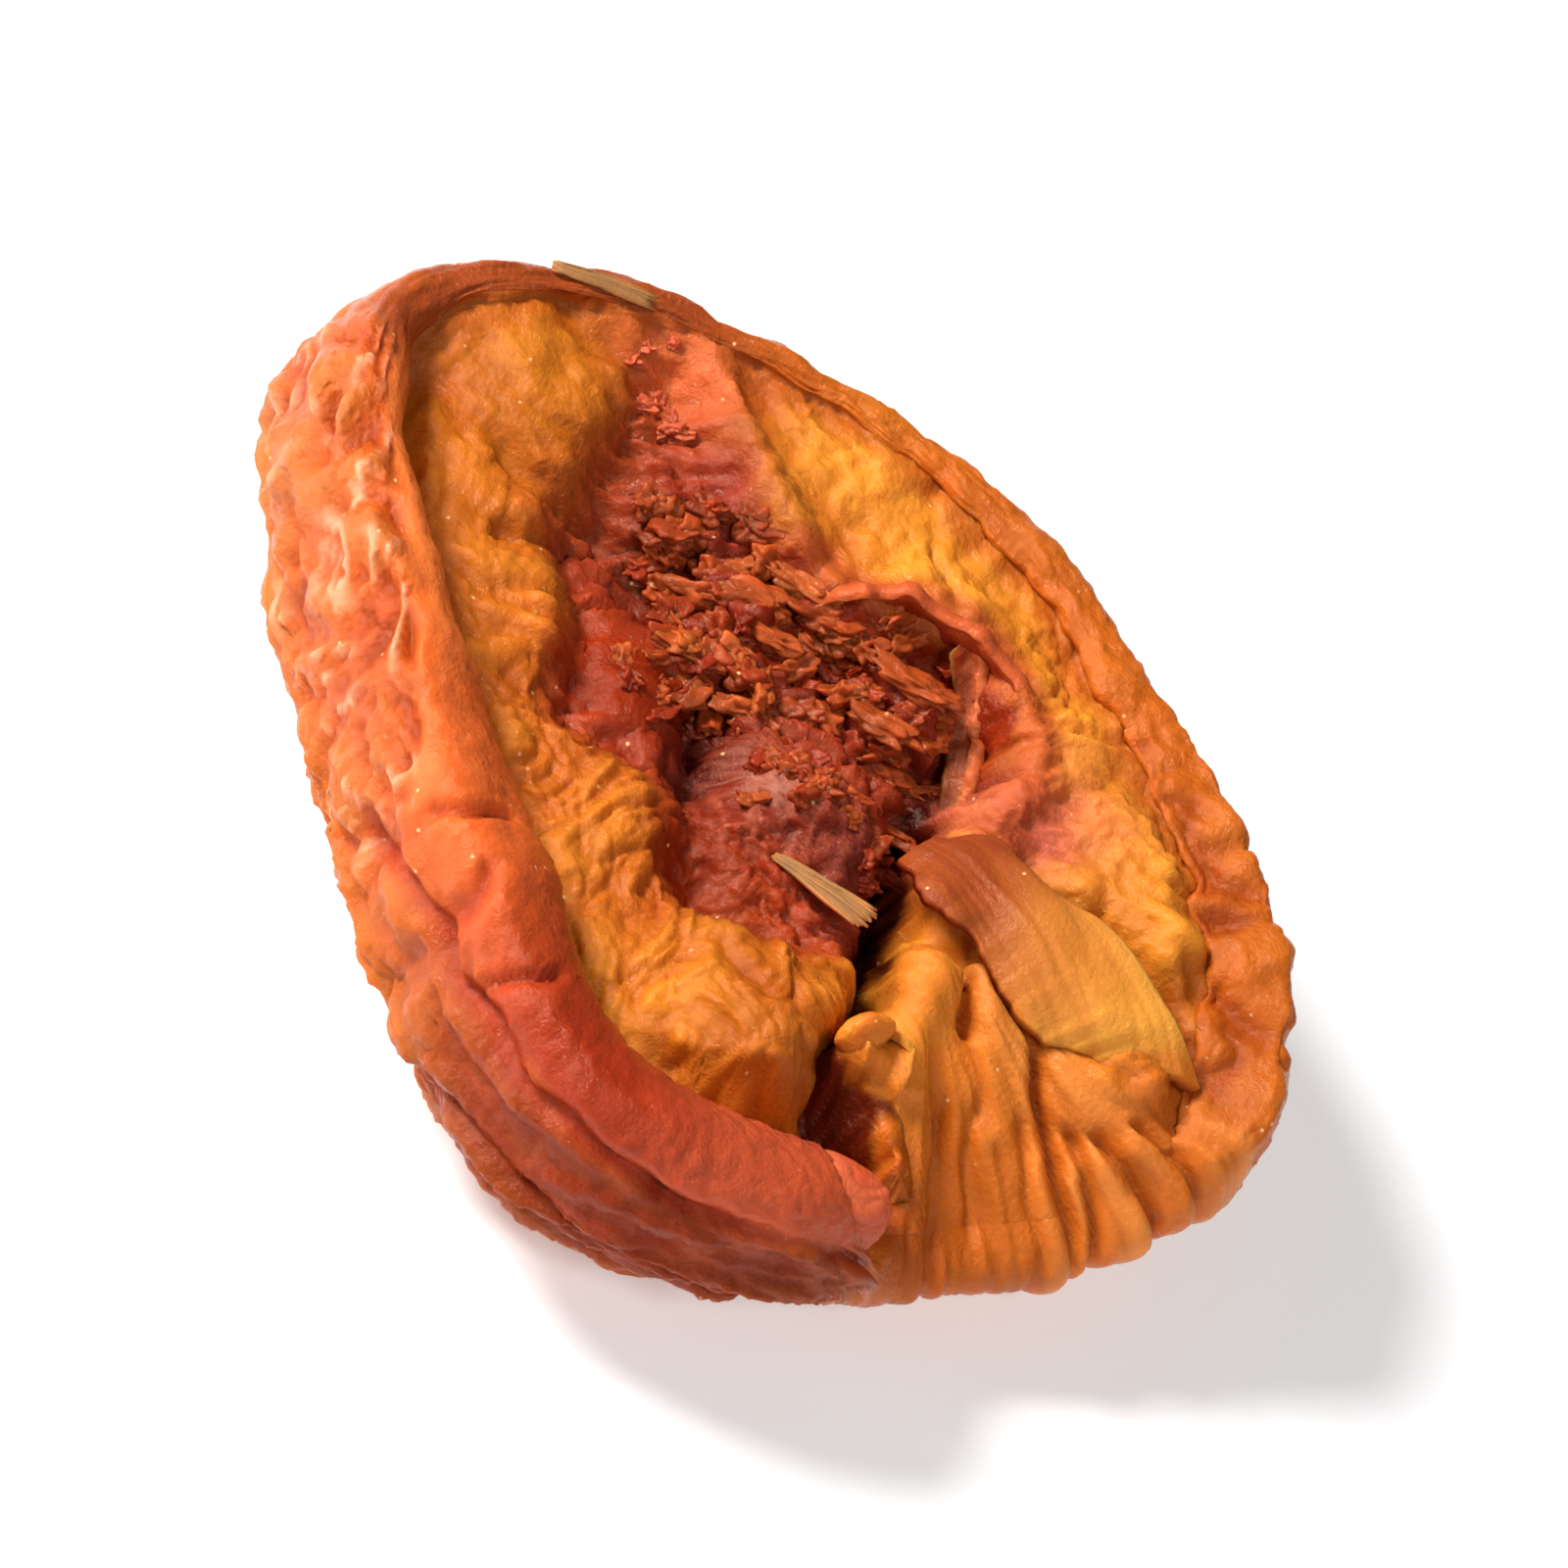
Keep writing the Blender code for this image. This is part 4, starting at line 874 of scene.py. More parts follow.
# Painted shade at the two places where the fan runs in under the roll and under the flap
tint = paint(tint, (0.40, 0.065, 0.005), 0.8 * mound(x, y, (21.6, -4.6), (1.6, 1.8)))
tint = paint(tint, (0.56, 0.125, 0.012), 0.8 * mound(x, y, (20.9, 9.8), (2.4, 1.8)))

BRIGHTEST = 0.95  # no flesh reflects more light than this
tint = tint * (1.0 + 0.10 * swell(smooth, 2.2, 13.0)[:, None])
tint = np.clip(tint, 0.0, BRIGHTEST)
print("points in the shade:", int((in_shade > 0.5).sum()))

# %% Store the colours on the mesh
def store(mesh, colours, wrinkle):
    """Keep a colour and a depth of fine wrinkling, in mm, with each vertex, for the materials to read."""
    layer = mesh.attributes.new("tint", "FLOAT_COLOR", "POINT")
    layer.data.foreach_set("color", np.column_stack([colours, np.ones(len(colours))]).ravel())
    layer = mesh.attributes.new("wrinkle", "FLOAT", "POINT")
    layer.data.foreach_set("value", wrinkle + np.zeros(len(colours)))


wrinkle = blend(-0.08, 0.24, upper_roll * (1.0 - smooth_band)) * (1.0 - 0.6 * smooth_band)
store(body_mesh, tint, wrinkle * (1.0 - 0.5 * fan))
print("mean colour of the half:", tint.mean(0).round(2))

# %% [markdown]
# ## The material of the peach
#
# Dried fruit is moist and lets light in a little way. One colour with a gloss would look like plastic. So
# the stored colour is broken up by fine mottling and a few pale specks, which stand for sugar and are also
# painted glints, the gloss changes from spot to spot, and fine bumps make the sheen crumble into small
# glints. The Principled shader scatters some light below the surface, with red going deepest. Each of
# these is a short helper that adds its nodes and hands back the socket that they end in.

# %% Nodes in few words
def new_material(name):
    made = bpy.data.materials.new(name)
    made.use_nodes = True
    return made, made.node_tree.nodes, made.node_tree.links


def add_node(nodes, kind, **settings):
    """A node with its inputs and settings, each given by name."""
    made = nodes.new(kind)
    for key, value in settings.items():
        if key in made.inputs:
            made.inputs[key].default_value = value
        else:
            setattr(made, key, value)
    return made


print("material names so far:", len(bpy.data.materials))

# %% Mottled colour, and pale specks of sugar and painted glints
MOTTLE_RANGE = {"To Min": 0.82, "To Max": 1.16}  # darkest and lightest spot, as shares of the colour
SPECK_FADE = {"From Min": 0.17, "From Max": 0.07}  # where a speck ends, and where it is full
# Pale specks: sugar, and painted glints of wet light
SUGAR_AND_GLINT = (0.92, 0.50, 0.22, 1.0)


def mottled(nodes, links, place):
    """The stored colour, a little lighter and darker from spot to spot."""
    stored = add_node(nodes, "ShaderNodeAttribute", attribute_name="tint")
    mottle = add_node(nodes, "ShaderNodeTexNoise", Scale=900.0, Detail=4.0, Roughness=0.6)
    strength = add_node(nodes, "ShaderNodeMapRange", **MOTTLE_RANGE)
    shade = add_node(nodes, "ShaderNodeVectorMath", operation="SCALE")
    links.new(place, mottle.inputs["Vector"])
    links.new(mottle.outputs["Fac"], strength.inputs["Value"])
    links.new(stored.outputs["Color"], shade.inputs["Vector"])
    links.new(strength.outputs["Result"], shade.inputs["Scale"])
    return shade.outputs["Vector"]


def specked_with_sugar_and_glints(nodes, links, place, colour, specks):
    """A colour with pale specks on a share of the cells of a fine net."""
    cells = add_node(nodes, "ShaderNodeTexVoronoi", Scale=1300.0)
    speck = add_node(nodes, "ShaderNodeMapRange", **SPECK_FADE)
    split = add_node(nodes, "ShaderNodeSeparateColor")
    few = add_node(nodes, "ShaderNodeMath", operation="GREATER_THAN")
    few.inputs[1].default_value = 1.0 - specks
    both = add_node(nodes, "ShaderNodeMath", operation="MULTIPLY")
    pale = add_node(nodes, "ShaderNodeMix", data_type="RGBA")
    # The pale specks stand for sugar and are also painted glints
    pale.inputs["B"].default_value = SUGAR_AND_GLINT
    links.new(place, cells.inputs["Vector"])
    links.new(cells.outputs["Distance"], speck.inputs["Value"])
    links.new(cells.outputs["Color"], split.inputs["Color"])
    links.new(split.outputs["Red"], few.inputs[0])
    links.new(speck.outputs["Result"], both.inputs[0])
    links.new(few.outputs["Value"], both.inputs[1])
    links.new(both.outputs["Value"], pale.inputs["Factor"])
    links.new(colour, pale.inputs["A"])
    return pale.outputs["Result"]


print("sugar specks fade out at", SPECK_FADE["From Min"], "of a cell")

# %% Uneven gloss and fine bumps
def uneven_gloss(nodes, links, place, low, high):
    """Roughness that wanders between two values."""
    patches = add_node(nodes, "ShaderNodeTexNoise", Scale=420.0, Detail=3.0)
    limits = {"From Min": 0.3, "From Max": 0.7, "To Min": low, "To Max": high}
    gloss = add_node(nodes, "ShaderNodeMapRange", **limits)
    links.new(place, patches.inputs["Vector"])
    links.new(patches.outputs["Fac"], gloss.inputs["Value"])
    return gloss.outputs["Result"]


def fine_bumps(nodes, links, place, depth):
    """A net of fine wrinkles, as deep as stored with each vertex, and an even grain on top of it."""
    ridges = "RIDGED_MULTIFRACTAL"
    net = add_node(nodes, "ShaderNodeTexNoise", noise_type=ridges, Scale=1500.0, Detail=3.0, Roughness=0.5)
    grain = add_node(nodes, "ShaderNodeTexNoise", Scale=3600.0, Detail=4.0, Roughness=0.62)
    stored = add_node(nodes, "ShaderNodeAttribute", attribute_name="wrinkle")
    net_depth = add_node(nodes, "ShaderNodeMath", operation="MULTIPLY")
    net_bump = add_node(nodes, "ShaderNodeBump", Strength=1.0, Distance=MM)
    bump = add_node(nodes, "ShaderNodeBump", Strength=0.8, Distance=depth * MM)
    links.new(place, net.inputs["Vector"])
    links.new(place, grain.inputs["Vector"])
    links.new(net.outputs["Fac"], net_depth.inputs[0])
    links.new(stored.outputs["Fac"], net_depth.inputs[1])
    links.new(net_depth.outputs["Value"], net_bump.inputs["Height"])
    links.new(grain.outputs["Fac"], bump.inputs["Height"])
    links.new(net_bump.outputs["Normal"], bump.inputs["Normal"])
    return bump.outputs["Normal"]


print("bumps are measured in steps of", MM, "m")

# %% The finishes of the fruit
def fruit_material(name, rough, bump_depth, specks, inner_glow):
    """Moist dried flesh: its roughness from and to, bump depth in mm, share of specks, and glow."""
    made, nodes, links = new_material(name)
    shader = nodes["Principled BSDF"]
    place = add_node(nodes, "ShaderNodeTexCoord").outputs["Object"]
    colour = specked_with_sugar_and_glints(nodes, links, place, mottled(nodes, links, place), specks)
    links.new(colour, shader.inputs["Base Color"])
    links.new(uneven_gloss(nodes, links, place, *rough), shader.inputs["Roughness"])
    links.new(fine_bumps(nodes, links, place, bump_depth), shader.inputs["Normal"])
    shader.inputs["Subsurface Weight"].default_value = inner_glow
    shader.inputs["Subsurface Radius"].default_value = (1.0, 0.32, 0.10)
    shader.inputs["Subsurface Scale"].default_value = 0.0009
    shader.inputs["Specular IOR Level"].default_value = 0.34
    shader.inputs["Specular Tint"].default_value = (1.0, 0.74, 0.54, 1.0)
    return made


peach_finish = fruit_material("dried_peach", (0.12, 0.30), bump_depth=0.16, specks=0.09, inner_glow=0.45)
calm_finish = fruit_material("calm_flesh", (0.28, 0.46), bump_depth=0.12, specks=0.09, inner_glow=0.45)
torn_finish = fruit_material("torn_flesh", (0.14, 0.32), bump_depth=0.12, specks=0.05, inner_glow=0.4)
straw_finish = fruit_material("pale_fibre", (0.4, 0.6), bump_depth=0.08, specks=0.0, inner_glow=0.5)
print("finishes:", [made.name for made in (peach_finish, calm_finish, torn_finish, straw_finish)])

# %% Put the body in the scene
body_mesh.materials.clear()
body_mesh.materials.append(peach_finish)


def add_piece(name, mesh):
    """A piece of the half: it rides on the half's one body and takes its finish."""
    mesh.shade_smooth()
    made = bpy.data.objects.new(name, mesh)
    bpy.context.scene.collection.objects.link(made)
    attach(made, "root")
    return made


body = add_piece("peach_body", body_mesh)
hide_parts("dried_peach_half")
print("the body has", len(body_mesh.polygons), "faces in one closed skin")

# %% [markdown]
# ## The flap
#
# When the stone was pulled out, a tongue of flesh tore loose along one side and fell back over the pleats.
# It is thin and ragged at its free edge, and seems to grow out of the flesh along the other. Cloth would
# fall over the pleats by itself, but not in this one way. Two edges and the sheet between them are enough
# to make it, closed by a second sheet below. This one meets the body only near its two ends. Between them
# its far edge arches over the groove of the seam, so from behind a gap shows that the real flap may not
# have.

# %% The flap's edges
FLAP_FREE_EDGE = (
    (5.6, 4.6, -2.0), (8.0, 3.5, -1.0), (9.9, 3.8, -0.6), (11.6, 4.5, -0.6), (13.2, 4.5, -0.8),
    (14.7, 4.3, -1.0), (16.2, 4.8, -1.4), (18.0, 6.4, -1.8), (20.4, 9.2, -2.6),
)
FLAP_FAR_EDGE = (
    (5.3, 7.6, -2.0), (6.9, 9.4, -0.7), (9.3, 9.1, 0.1), (11.5, 9.5, 0.4), (14.0, 10.9, 0.5),
    (15.8, 11.3, 0.5), (17.7, 11.5, 0.2), (19.8, 11.8, -0.5), (22.4, 12.4, -2.6),
)
FLAP_THICKNESS = (0.5, 1.3)  # at its free edge and at its far edge
FLAP_ARCH = 0.55  # how far its middle stands above a straight sheet
FLAP_ROWS, FLAP_COLUMNS = 110, 46
LIFT = np.array([CENTRE[0], CENTRE[1], RIM_HEIGHT])  # from the tables' zero to the frame's
print("free edge of", len(FLAP_FREE_EDGE), "points, far edge of", len(FLAP_FAR_EDGE))

# %% Sheets between two edges
def closed_strip(name, top, bottom):
    """A solid between two sheets of points, each rows by columns by 3, in millimetres."""
    rows, columns = top.shape[:2]
    count = rows * columns
    first = [r * columns + c for r in range(rows - 1) for c in range(columns - 1)]
    corners = [(i, i + 1, i + columns + 1, i + columns) for i in first]
    faces = [face[::-1] for face in corners] + [tuple(i + count for i in face) for face in corners]
    loop = list(range(columns))
    loop += [r * columns + columns - 1 for r in range(1, rows)]
    loop += [(rows - 1) * columns + c for c in range(columns - 2, -1, -1)]
    loop += [r * columns for r in range(rows - 2, 0, -1)]
    faces += [(a, b, b + count, a + count) for a, b in zip(loop, loop[1:] + loop[:1])]
    mesh = bpy.data.meshes.new(name)
    mesh.from_pydata((np.vstack([top.reshape(-1, 3), bottom.reshape(-1, 3)]) * MM).tolist(), [], faces)
    bm = bmesh.new()
    bm.from_mesh(mesh)
    bmesh.ops.recalc_face_normals(bm, faces=bm.faces)
    bm.to_mesh(mesh)
    bm.free()
    return mesh


def along_path(points, count):
    """Evenly spread rows along a smooth path."""
    path = smooth_path(points)
    run = np.concatenate([[0.0], np.cumsum(np.linalg.norm(np.diff(path, axis=0), axis=1))])
    at = np.linspace(0.0, run[-1], count)
    return np.column_stack([np.interp(at, run, path[:, k]) for k in range(3)])


free, far = along_path(FLAP_FREE_EDGE, FLAP_ROWS), along_path(FLAP_FAR_EDGE, FLAP_ROWS)
print("the flap's edges are", np.ptp(free, 0).round(1), "and", np.ptp(far, 0).round(1), "mm long")

# %% Make the flap
EDGE_RUN = 20.0  # length of the noise along a torn edge
run = np.linspace(0.0, 1.0, FLAP_ROWS)
along_edge = with_height(run * EDGE_RUN, 0 * run)
ragged = 0.30 * swell(along_edge, 3.2) + 0.14 * swell(along_edge, 1.1, 7.0)
ragged = ragged + 0.05 * swell(along_edge, 0.5, 9.0)
free[:, 1] += ragged * soft_step(0.0, 0.1, run)
across = np.linspace(0.0, 1.0, FLAP_COLUMNS)[None, :, None]
top = free[:, None] * (1.0 - across) + far[:, None] * across
top[..., 2] += FLAP_ARCH * np.sin(math.pi * across[..., 0])
flat = top.reshape(-1, 3)
slanted = np.column_stack([flat[:, 0] * 0.9 + flat[:, 1] * 0.25, flat[:, 1] * 0.97, 0 * flat[:, 0]])
lines = puffs(slanted, (7.0, 0.9, 1.0), 2.0)
broad = swell(flat, (5.0, 2.4, 4.0), 5.0)
top[..., 2] += (0.09 * (lines - 0.4) + 0.42 * broad).reshape(top.shape[:2])
top += LIFT
thin, thick = FLAP_THICKNESS
bottom = top.copy()
bottom[..., 2] -= thin + (thick - thin) * across[..., 0]
flap_mesh = closed_strip("flap", top, bottom)
print("flap:", len(flap_mesh.polygons), "faces")

# %% Colour and place the flap
flap_tint = np.tile(np.array((0.93, 0.385, 0.048)), (len(flat), 1))
run_along = np.repeat(run, FLAP_COLUMNS)
far_side = np.tile(across[0, :, 0], FLAP_ROWS)
dusk = soft_step(0.92, 0.24, run_along + 0.08 * broad + 0.12 * far_side)
flap_tint = paint(flap_tint, (0.86, 0.250, 0.034), 0.4 * soft_step(0.85, 0.55, run_along))
flap_tint = paint(flap_tint, (0.24, 0.020, 0.007), 0.9 * dusk)
# Painted shade in the grooves between the flap's lengthwise lines
flap_tint = paint(flap_tint, (0.56, 0.120, 0.010), 0.22 * soft_step(0.35, 0.1, lines))
# Painted light on the flap's raised far edge
lit_far_edge = soft_step(0.72, 0.92, far_side) * soft_step(0.35, 0.6, run_along)
flap_tint = paint(flap_tint, (0.92, 0.380, 0.060), 0.6 * lit_far_edge)
flap_tint = paint(flap_tint, (0.66, 0.160, 0.014), 0.8 * soft_step(0.82, 0.97, run_along))
# The underside of the flap is its top colour darkened, as painted shade
UNDERSIDE_SHADE = (0.50, 0.30, 0.25)  # shares of red, green and blue that are left below
store(flap_mesh, np.vstack([flap_tint, flap_tint * UNDERSIDE_SHADE]), wrinkle=-0.015)
flap_mesh.materials.append(calm_finish)
add_piece("flap", flap_mesh)
flap_low, flap_high = flat[:, 2].min().round(1), flat[:, 2].max().round(1)
print("the flap's upper side is", flap_low, "to", flap_high, "mm above the table")

# %% [markdown]
# ## Torn flesh
#
# The stone of a peach is deeply furrowed, and flesh grows into the furrows. It tore when the stone was
# pulled out, and dried as small ragged lumps that stick up from the pit. A particle system could strew
# them, but each would be the same lump. Here each is a small ball of its own, dented by noise, bent and
# turned. The larger ones are placed one by one. The small ones fall inside four outlines by a seeded draw,
# so that they fall the same way each time.

# %% One torn scrap
surface = points[share < CREST_AT]


def floor_under(at_x, at_y):
    """Height of the finished body under each place, read from its nearest point."""
    own = np.column_stack([at_x + CENTRE[0], at_y + CENTRE[1]])
    return np.array([surface[np.argmin(((surface[:, :2] - p) ** 2).sum(1)), 2] for p in own])


def unit_ball(cuts):
    """Points and triangles of a ball made from triangles of about one size."""
    bm = bmesh.new()
    bmesh.ops.create_icosphere(bm, subdivisions=cuts, radius=1.0)
    places = np.array([v.co[:] for v in bm.verts])
    triangles = [tuple(v.index for v in f.verts) for f in bm.faces]
    bm.free()
    return places, triangles


BALL, BALL_FACES = unit_ball(4)
DENT_SIZES = (0.8, 0.42)  # width of the larger and smaller dents, on a ball of radius 1
BLOCKY = 0.88  # below 1, the ball bulges towards its corners


def chunk(at, size, turn, tilt, roll, bend, seed):
    """One torn scrap: a dented, bent block, a little thinner towards its tip."""
    length, width, thick = size
    taper = 1.0 - 0.15 * soft_step(-0.2, 1.0, BALL[:, 0])
    large, small = swell(BALL, DENT_SIZES[0], seed), swell(BALL, DENT_SIZES[1], seed + 9.0)
    dents = 0.94 + 0.42 * large + 0.32 * small
    p = np.sign(BALL) * np.abs(BALL) ** BLOCKY * dents[:, None]
    p = np.column_stack([p[:, 0] * length, p[:, 1] * width * taper, p[:, 2] * thick * taper]) * 0.5
    p[:, 2] += bend * (p[:, 0] / length) ** 2 * length
    for axis, amount in (("X", roll), ("Y", -tilt), ("Z", turn)):
        p = p @ np.array(Matrix.Rotation(math.radians(amount), 3, axis)).T
    return p + np.array(at)


print("each scrap has", len(BALL_FACES), "faces")

# %% Place the larger scraps
# Two ends, width, thickness, height above the floor, roll and bend
SCRAPS = (
    ((-11.6, 6.0), (-8.8, 8.4), 1.7, 1.2, 1.0, 15, 0.06),
    ((-13.0, 5.0), (-11.2, 2.8), 1.6, 1.2, 0.5, -20, 0.15),
    ((-8.2, 3.8), (-5.6, 2.6), 1.3, 1.0, 0.6, 10, 0.10),
    ((-9.6, 4.4), (-7.6, 5.2), 1.4, 1.0, 0.7, 25, 0.15),
    ((-9.8, 6.0), (-7.0, 7.6), 1.3, 1.0, 0.6, 0, 0.10),
    ((-7.6, 8.2), (-4.4, 10.2), 1.4, 0.7, 1.2, 35, 0.30),
    ((-7.2, 6.0), (-5.0, 4.0), 1.2, 1.0, 0.9, 10, 0.20),
    ((-12.8, 7.2), (-12.0, 9.4), 1.4, 1.0, 0.6, -10, 0.15),
    ((-11.4, 8.8), (-8.0, 10.2), 1.2, 0.7, 0.7, 30, 0.15),
    ((-3.0, 8.2), (0.4, 9.6), 1.4, 0.9, 0.8, 20, 0.12),
    ((-4.8, 10.4), (-0.6, 12.4), 2.0, 1.2, 0.9, -15, 0.12),
    ((-3.8, 12.0), (-0.4, 13.0), 1.2, 0.8, 0.9, 10, 0.15),
    ((-0.2, 9.8), (2.0, 10.6), 1.0, 0.8, 0.7, 0, 0.20),
    ((2.2, 8.0), (4.2, 8.8), 0.8, 0.6, 0.8, 0, 0.10),
    ((4.0, 6.4), (6.2, 7.4), 0.9, 0.6, 0.8, 0, 0.10),
    ((-16.6, 6.4), (-15.0, 8.2), 1.4, 1.0, 0.4, 10, 0.15),
    ((-14.8, 8.8), (-12.6, 9.9), 1.2, 0.7, 0.5, 20, 0.15),
    ((-10.8, 1.8), (-9.0, 3.2), 1.4, 1.0, 0.3, 0, 0.10),
)
SCRAP_TILT = 8.0
picker = np.random.default_rng(11)
plans = []
for start, end, width, thick, above, roll, bend in SCRAPS:
    (ax, ay), (bx, by) = start, end
    length = math.hypot(bx - ax, by - ay)
    turn = math.degrees(math.atan2(by - ay, bx - ax))
    plans.append(((ax + bx) / 2, (ay + by) / 2, (length, width, thick), above, turn, SCRAP_TILT, roll, bend))
print(len(plans), "scraps placed one by one")

# %% Scatter the smaller ones
TORN_PART = (
    (-18.0, 4.5), (-15.5, 9.5), (-8.5, 9.8), (-5.5, 14.0), (-1.0, 15.2), (3.0, 12.0), (4.0, 8.5),
    (-2.5, 8.2), (-4.5, 4.6), (-8.0, 1.6), (-15.0, 2.6),
)
CRUMBS_PART = ((-26.2, 9.2), (-25.2, 10.7), (-22.0, 10.4), (-19.4, 9.0), (-21.0, 7.6), (-24.2, 7.7))
MASS_PART = (
    (-3.0, 1.6), (-2.0, 4.6), (1.0, 6.8), (4.4, 7.2), (5.6, 4.6), (4.4, 2.2), (1.6, 0.6), (-1.0, 0.0),
)
MOUND_PART = ((-11.8, -0.8), (-10.6, 1.2), (-8.0, 1.4), (-6.6, 0.0), (-7.6, -1.4), (-9.8, -1.8))

# Outline, how many fall inside it, and their size
PARTS = ((TORN_PART, 84, 1.0), (CRUMBS_PART, 14, 0.6), (MASS_PART, 22, 0.8), (MOUND_PART, 7, 0.7))
for outline, count, scale in PARTS:
    low, high = np.min(outline, 0), np.max(outline, 0)
    while count:
        (gx, gy), draw = picker.uniform(low, high), picker.uniform(size=6)
        if inside(np.array([gx]), np.array([gy]), outline, 1.0)[0] > 0.5:
            size = scale * np.array((1.4 + 1.4 * draw[0], 1.1 + 0.9 * draw[1], 0.9 + 0.6 * draw[2]))
            turn, tilt, roll = picker.normal(45.0, 34.0), 40 * draw[4] - 10, 80 * draw[5] - 40
            plans.append((gx, gy, size, 0.3 * draw[3] - 0.35 - 0.35 * scale, turn, tilt, roll, 0.25))
            count -= 1
floors = floor_under(np.array([q[0] for q in plans]), np.array([q[1] for q in plans]))
print(len(plans) - len(SCRAPS), "smaller scraps scattered between them")

# %% Join the scraps
def joined_mesh(name, parts, triangles, finish):
    """One mesh from many copies of the same triangles, each with its own points and colours."""
    places = np.vstack([part[0] for part in parts])
    colours = np.clip(np.vstack([part[1] for part in parts]), 0.0, BRIGHTEST)
    step = len(parts[0][0])
    faces = [tuple(i + step * n for i in face) for n in range(len(parts)) for face in triangles]
    mesh = bpy.data.meshes.new(name)
    mesh.from_pydata((places * MM).tolist(), [], faces)
    store(mesh, colours, wrinkle=-0.05)
    mesh.materials.append(finish)
    return mesh


AMBER, CRIMSON, CORAL = np.array(((0.54, 0.105, 0.018), (0.28, 0.022, 0.007), (0.70, 0.120, 0.050)))
CORAL_FROM = -18.5  # scraps nearer to the tip than this are coral
parts = []
for n, ((px, py, size, above, turn, tilt, roll, bend), floor_z) in enumerate(zip(plans, floors)):
    at = (px + CENTRE[0], py + CENTRE[1], floor_z + 0.5 * above)
    shape = chunk(at, size, turn, tilt, roll, bend, 3.0 * n)
    mood = picker.uniform()
    colour = blend(CRIMSON, AMBER, 0.3 + 0.7 * mood if n < len(SCRAPS) else 0.75 * mood)
    if px < CORAL_FROM:
        colour = CORAL * (0.7 + 0.5 * mood)
    # Painted shade and light: each scrap is darker towards its foot and lighter at its top
    lift = np.clip((shape[:, 2] - shape[:, 2].min()) / np.ptp(shape[:, 2]), 0.0, 1.0)[:, None]
    colours = colour * (0.35 + 0.75 * lift) * (1.0 + 0.25 * swell(shape, 0.8, 2.0)[:, None])
    parts.append((shape, colours))
scraps = add_piece("torn_scraps", joined_mesh("torn_scraps", parts, BALL_FACES, torn_finish))
print("scraps:", len(scraps.data.polygons), "faces")

# %% [markdown]
# ## The end of the roll and the nub
#
# Where the thick roll ends, beside the gathered skin, it curls in on itself as a round bulb. One limb of
# the fan ends beside the cleft in a small nub of the same kind. Both fold over more sharply than the
# body's even faces can follow. A second ball, squeezed, turned and half sunk in the body, makes each of
# them and leaves the crease between the two.

# %% Round off the roll and the limb
# Middle, half-axes, and turn in degrees
ROLL_END = ((19.8, -9.1, -5.6), (3.3, 2.8, 2.7), 69)
NUB = ((13.5, -3.5, -2.0), (1.5, 0.85, 1.35), 78)


def rounded_end(at, axes, turn, base, dark, cuts=6):
    """Points, colours and triangles of a ball, lumpy and squeezed, in two colours."""
    places, triangles = unit_ball(cuts)
    c, s = math.cos(math.radians(turn)), math.sin(math.radians(turn))
    p = places * (1.0 + 0.10 * swell(places, 0.9, 4.0) + 0.03 * puffs(places, 0.4, 8.0))[:, None] * axes
    p = np.column_stack([p[:, 0] * c - p[:, 1] * s, p[:, 0] * s + p[:, 1] * c, p[:, 2]]) + at + LIFT
    colours = paint(np.tile(np.array(base), (len(p), 1)), dark, 0.4 + swell(p, 2.0))
    return p, colours, triangles


end_points, end_tint, end_faces = rounded_end(*ROLL_END, (0.80, 0.150, 0.058), (0.62, 0.080, 0.024))
roll_end = add_piece("roll_end", joined_mesh("roll_end", [(end_points, end_tint)], end_faces, peach_finish))
nub_points, nub_tint, nub_faces = rounded_end(*NUB, (0.84, 0.270, 0.030), (0.72, 0.190, 0.020), 5)
nub = add_piece("nub", joined_mesh("nub", [(nub_points, nub_tint)], nub_faces, peach_finish))
print("end of the roll:", len(roll_end.data.polygons), "faces, nub:", len(nub.data.polygons))

# %% [markdown]
# ## The lip of the pit
#
# On the far side of the pit the torn flesh stands up as a thin, curled wall. It ends in a narrow point that
# hangs down in front of it. Both are ribbons: a path for the top edge, a path for the foot, and a sheet
# between them that is thick below and thin above.

# %% Lip and point
LIP_EDGE = (
    (-9.4, 9.2, -3.2), (-8.3, 9.6, -1.8), (-7.5, 10.6, -0.7), (-6.9, 11.8, 0.0), (-5.7, 13.0, 0.3),
    (-4.0, 13.9, 0.4), (-2.2, 14.8, 0.2), (-0.8, 15.3, -0.1), (0.7, 15.4, -0.5), (2.2, 15.2, -1.0),
    (3.5, 14.2, -1.7), (4.6, 12.2, -2.8),
)
LIP_FOOT = (
    (-8.6, 9.4, -4.8), (-7.8, 10.2, -5.4), (-6.8, 11.3, -6.0), (-5.6, 12.6, -6.4), (-4.2, 13.8, -6.6),
    (-2.9, 14.7, -6.6), (-1.4, 15.2, -6.6), (0.0, 15.0, -6.6), (1.2, 14.3, -6.6), (2.1, 13.4, -6.6),
    (2.9, 12.3, -6.4), (3.6, 11.2, -6.0),
)
POINT_EDGE = (
    (-3.8, 14.8, -0.2), (-1.9, 14.9, -1.3), (-0.3, 14.2, -2.5), (1.5, 12.8, -3.4), (3.5, 10.5, -4.5),
)
POINT_FOOT = (
    (-3.2, 13.9, -1.0), (-1.6, 13.6, -2.4), (-0.2, 12.8, -3.6), (1.3, 11.7, -4.3), (3.3, 10.3, -4.8),
)


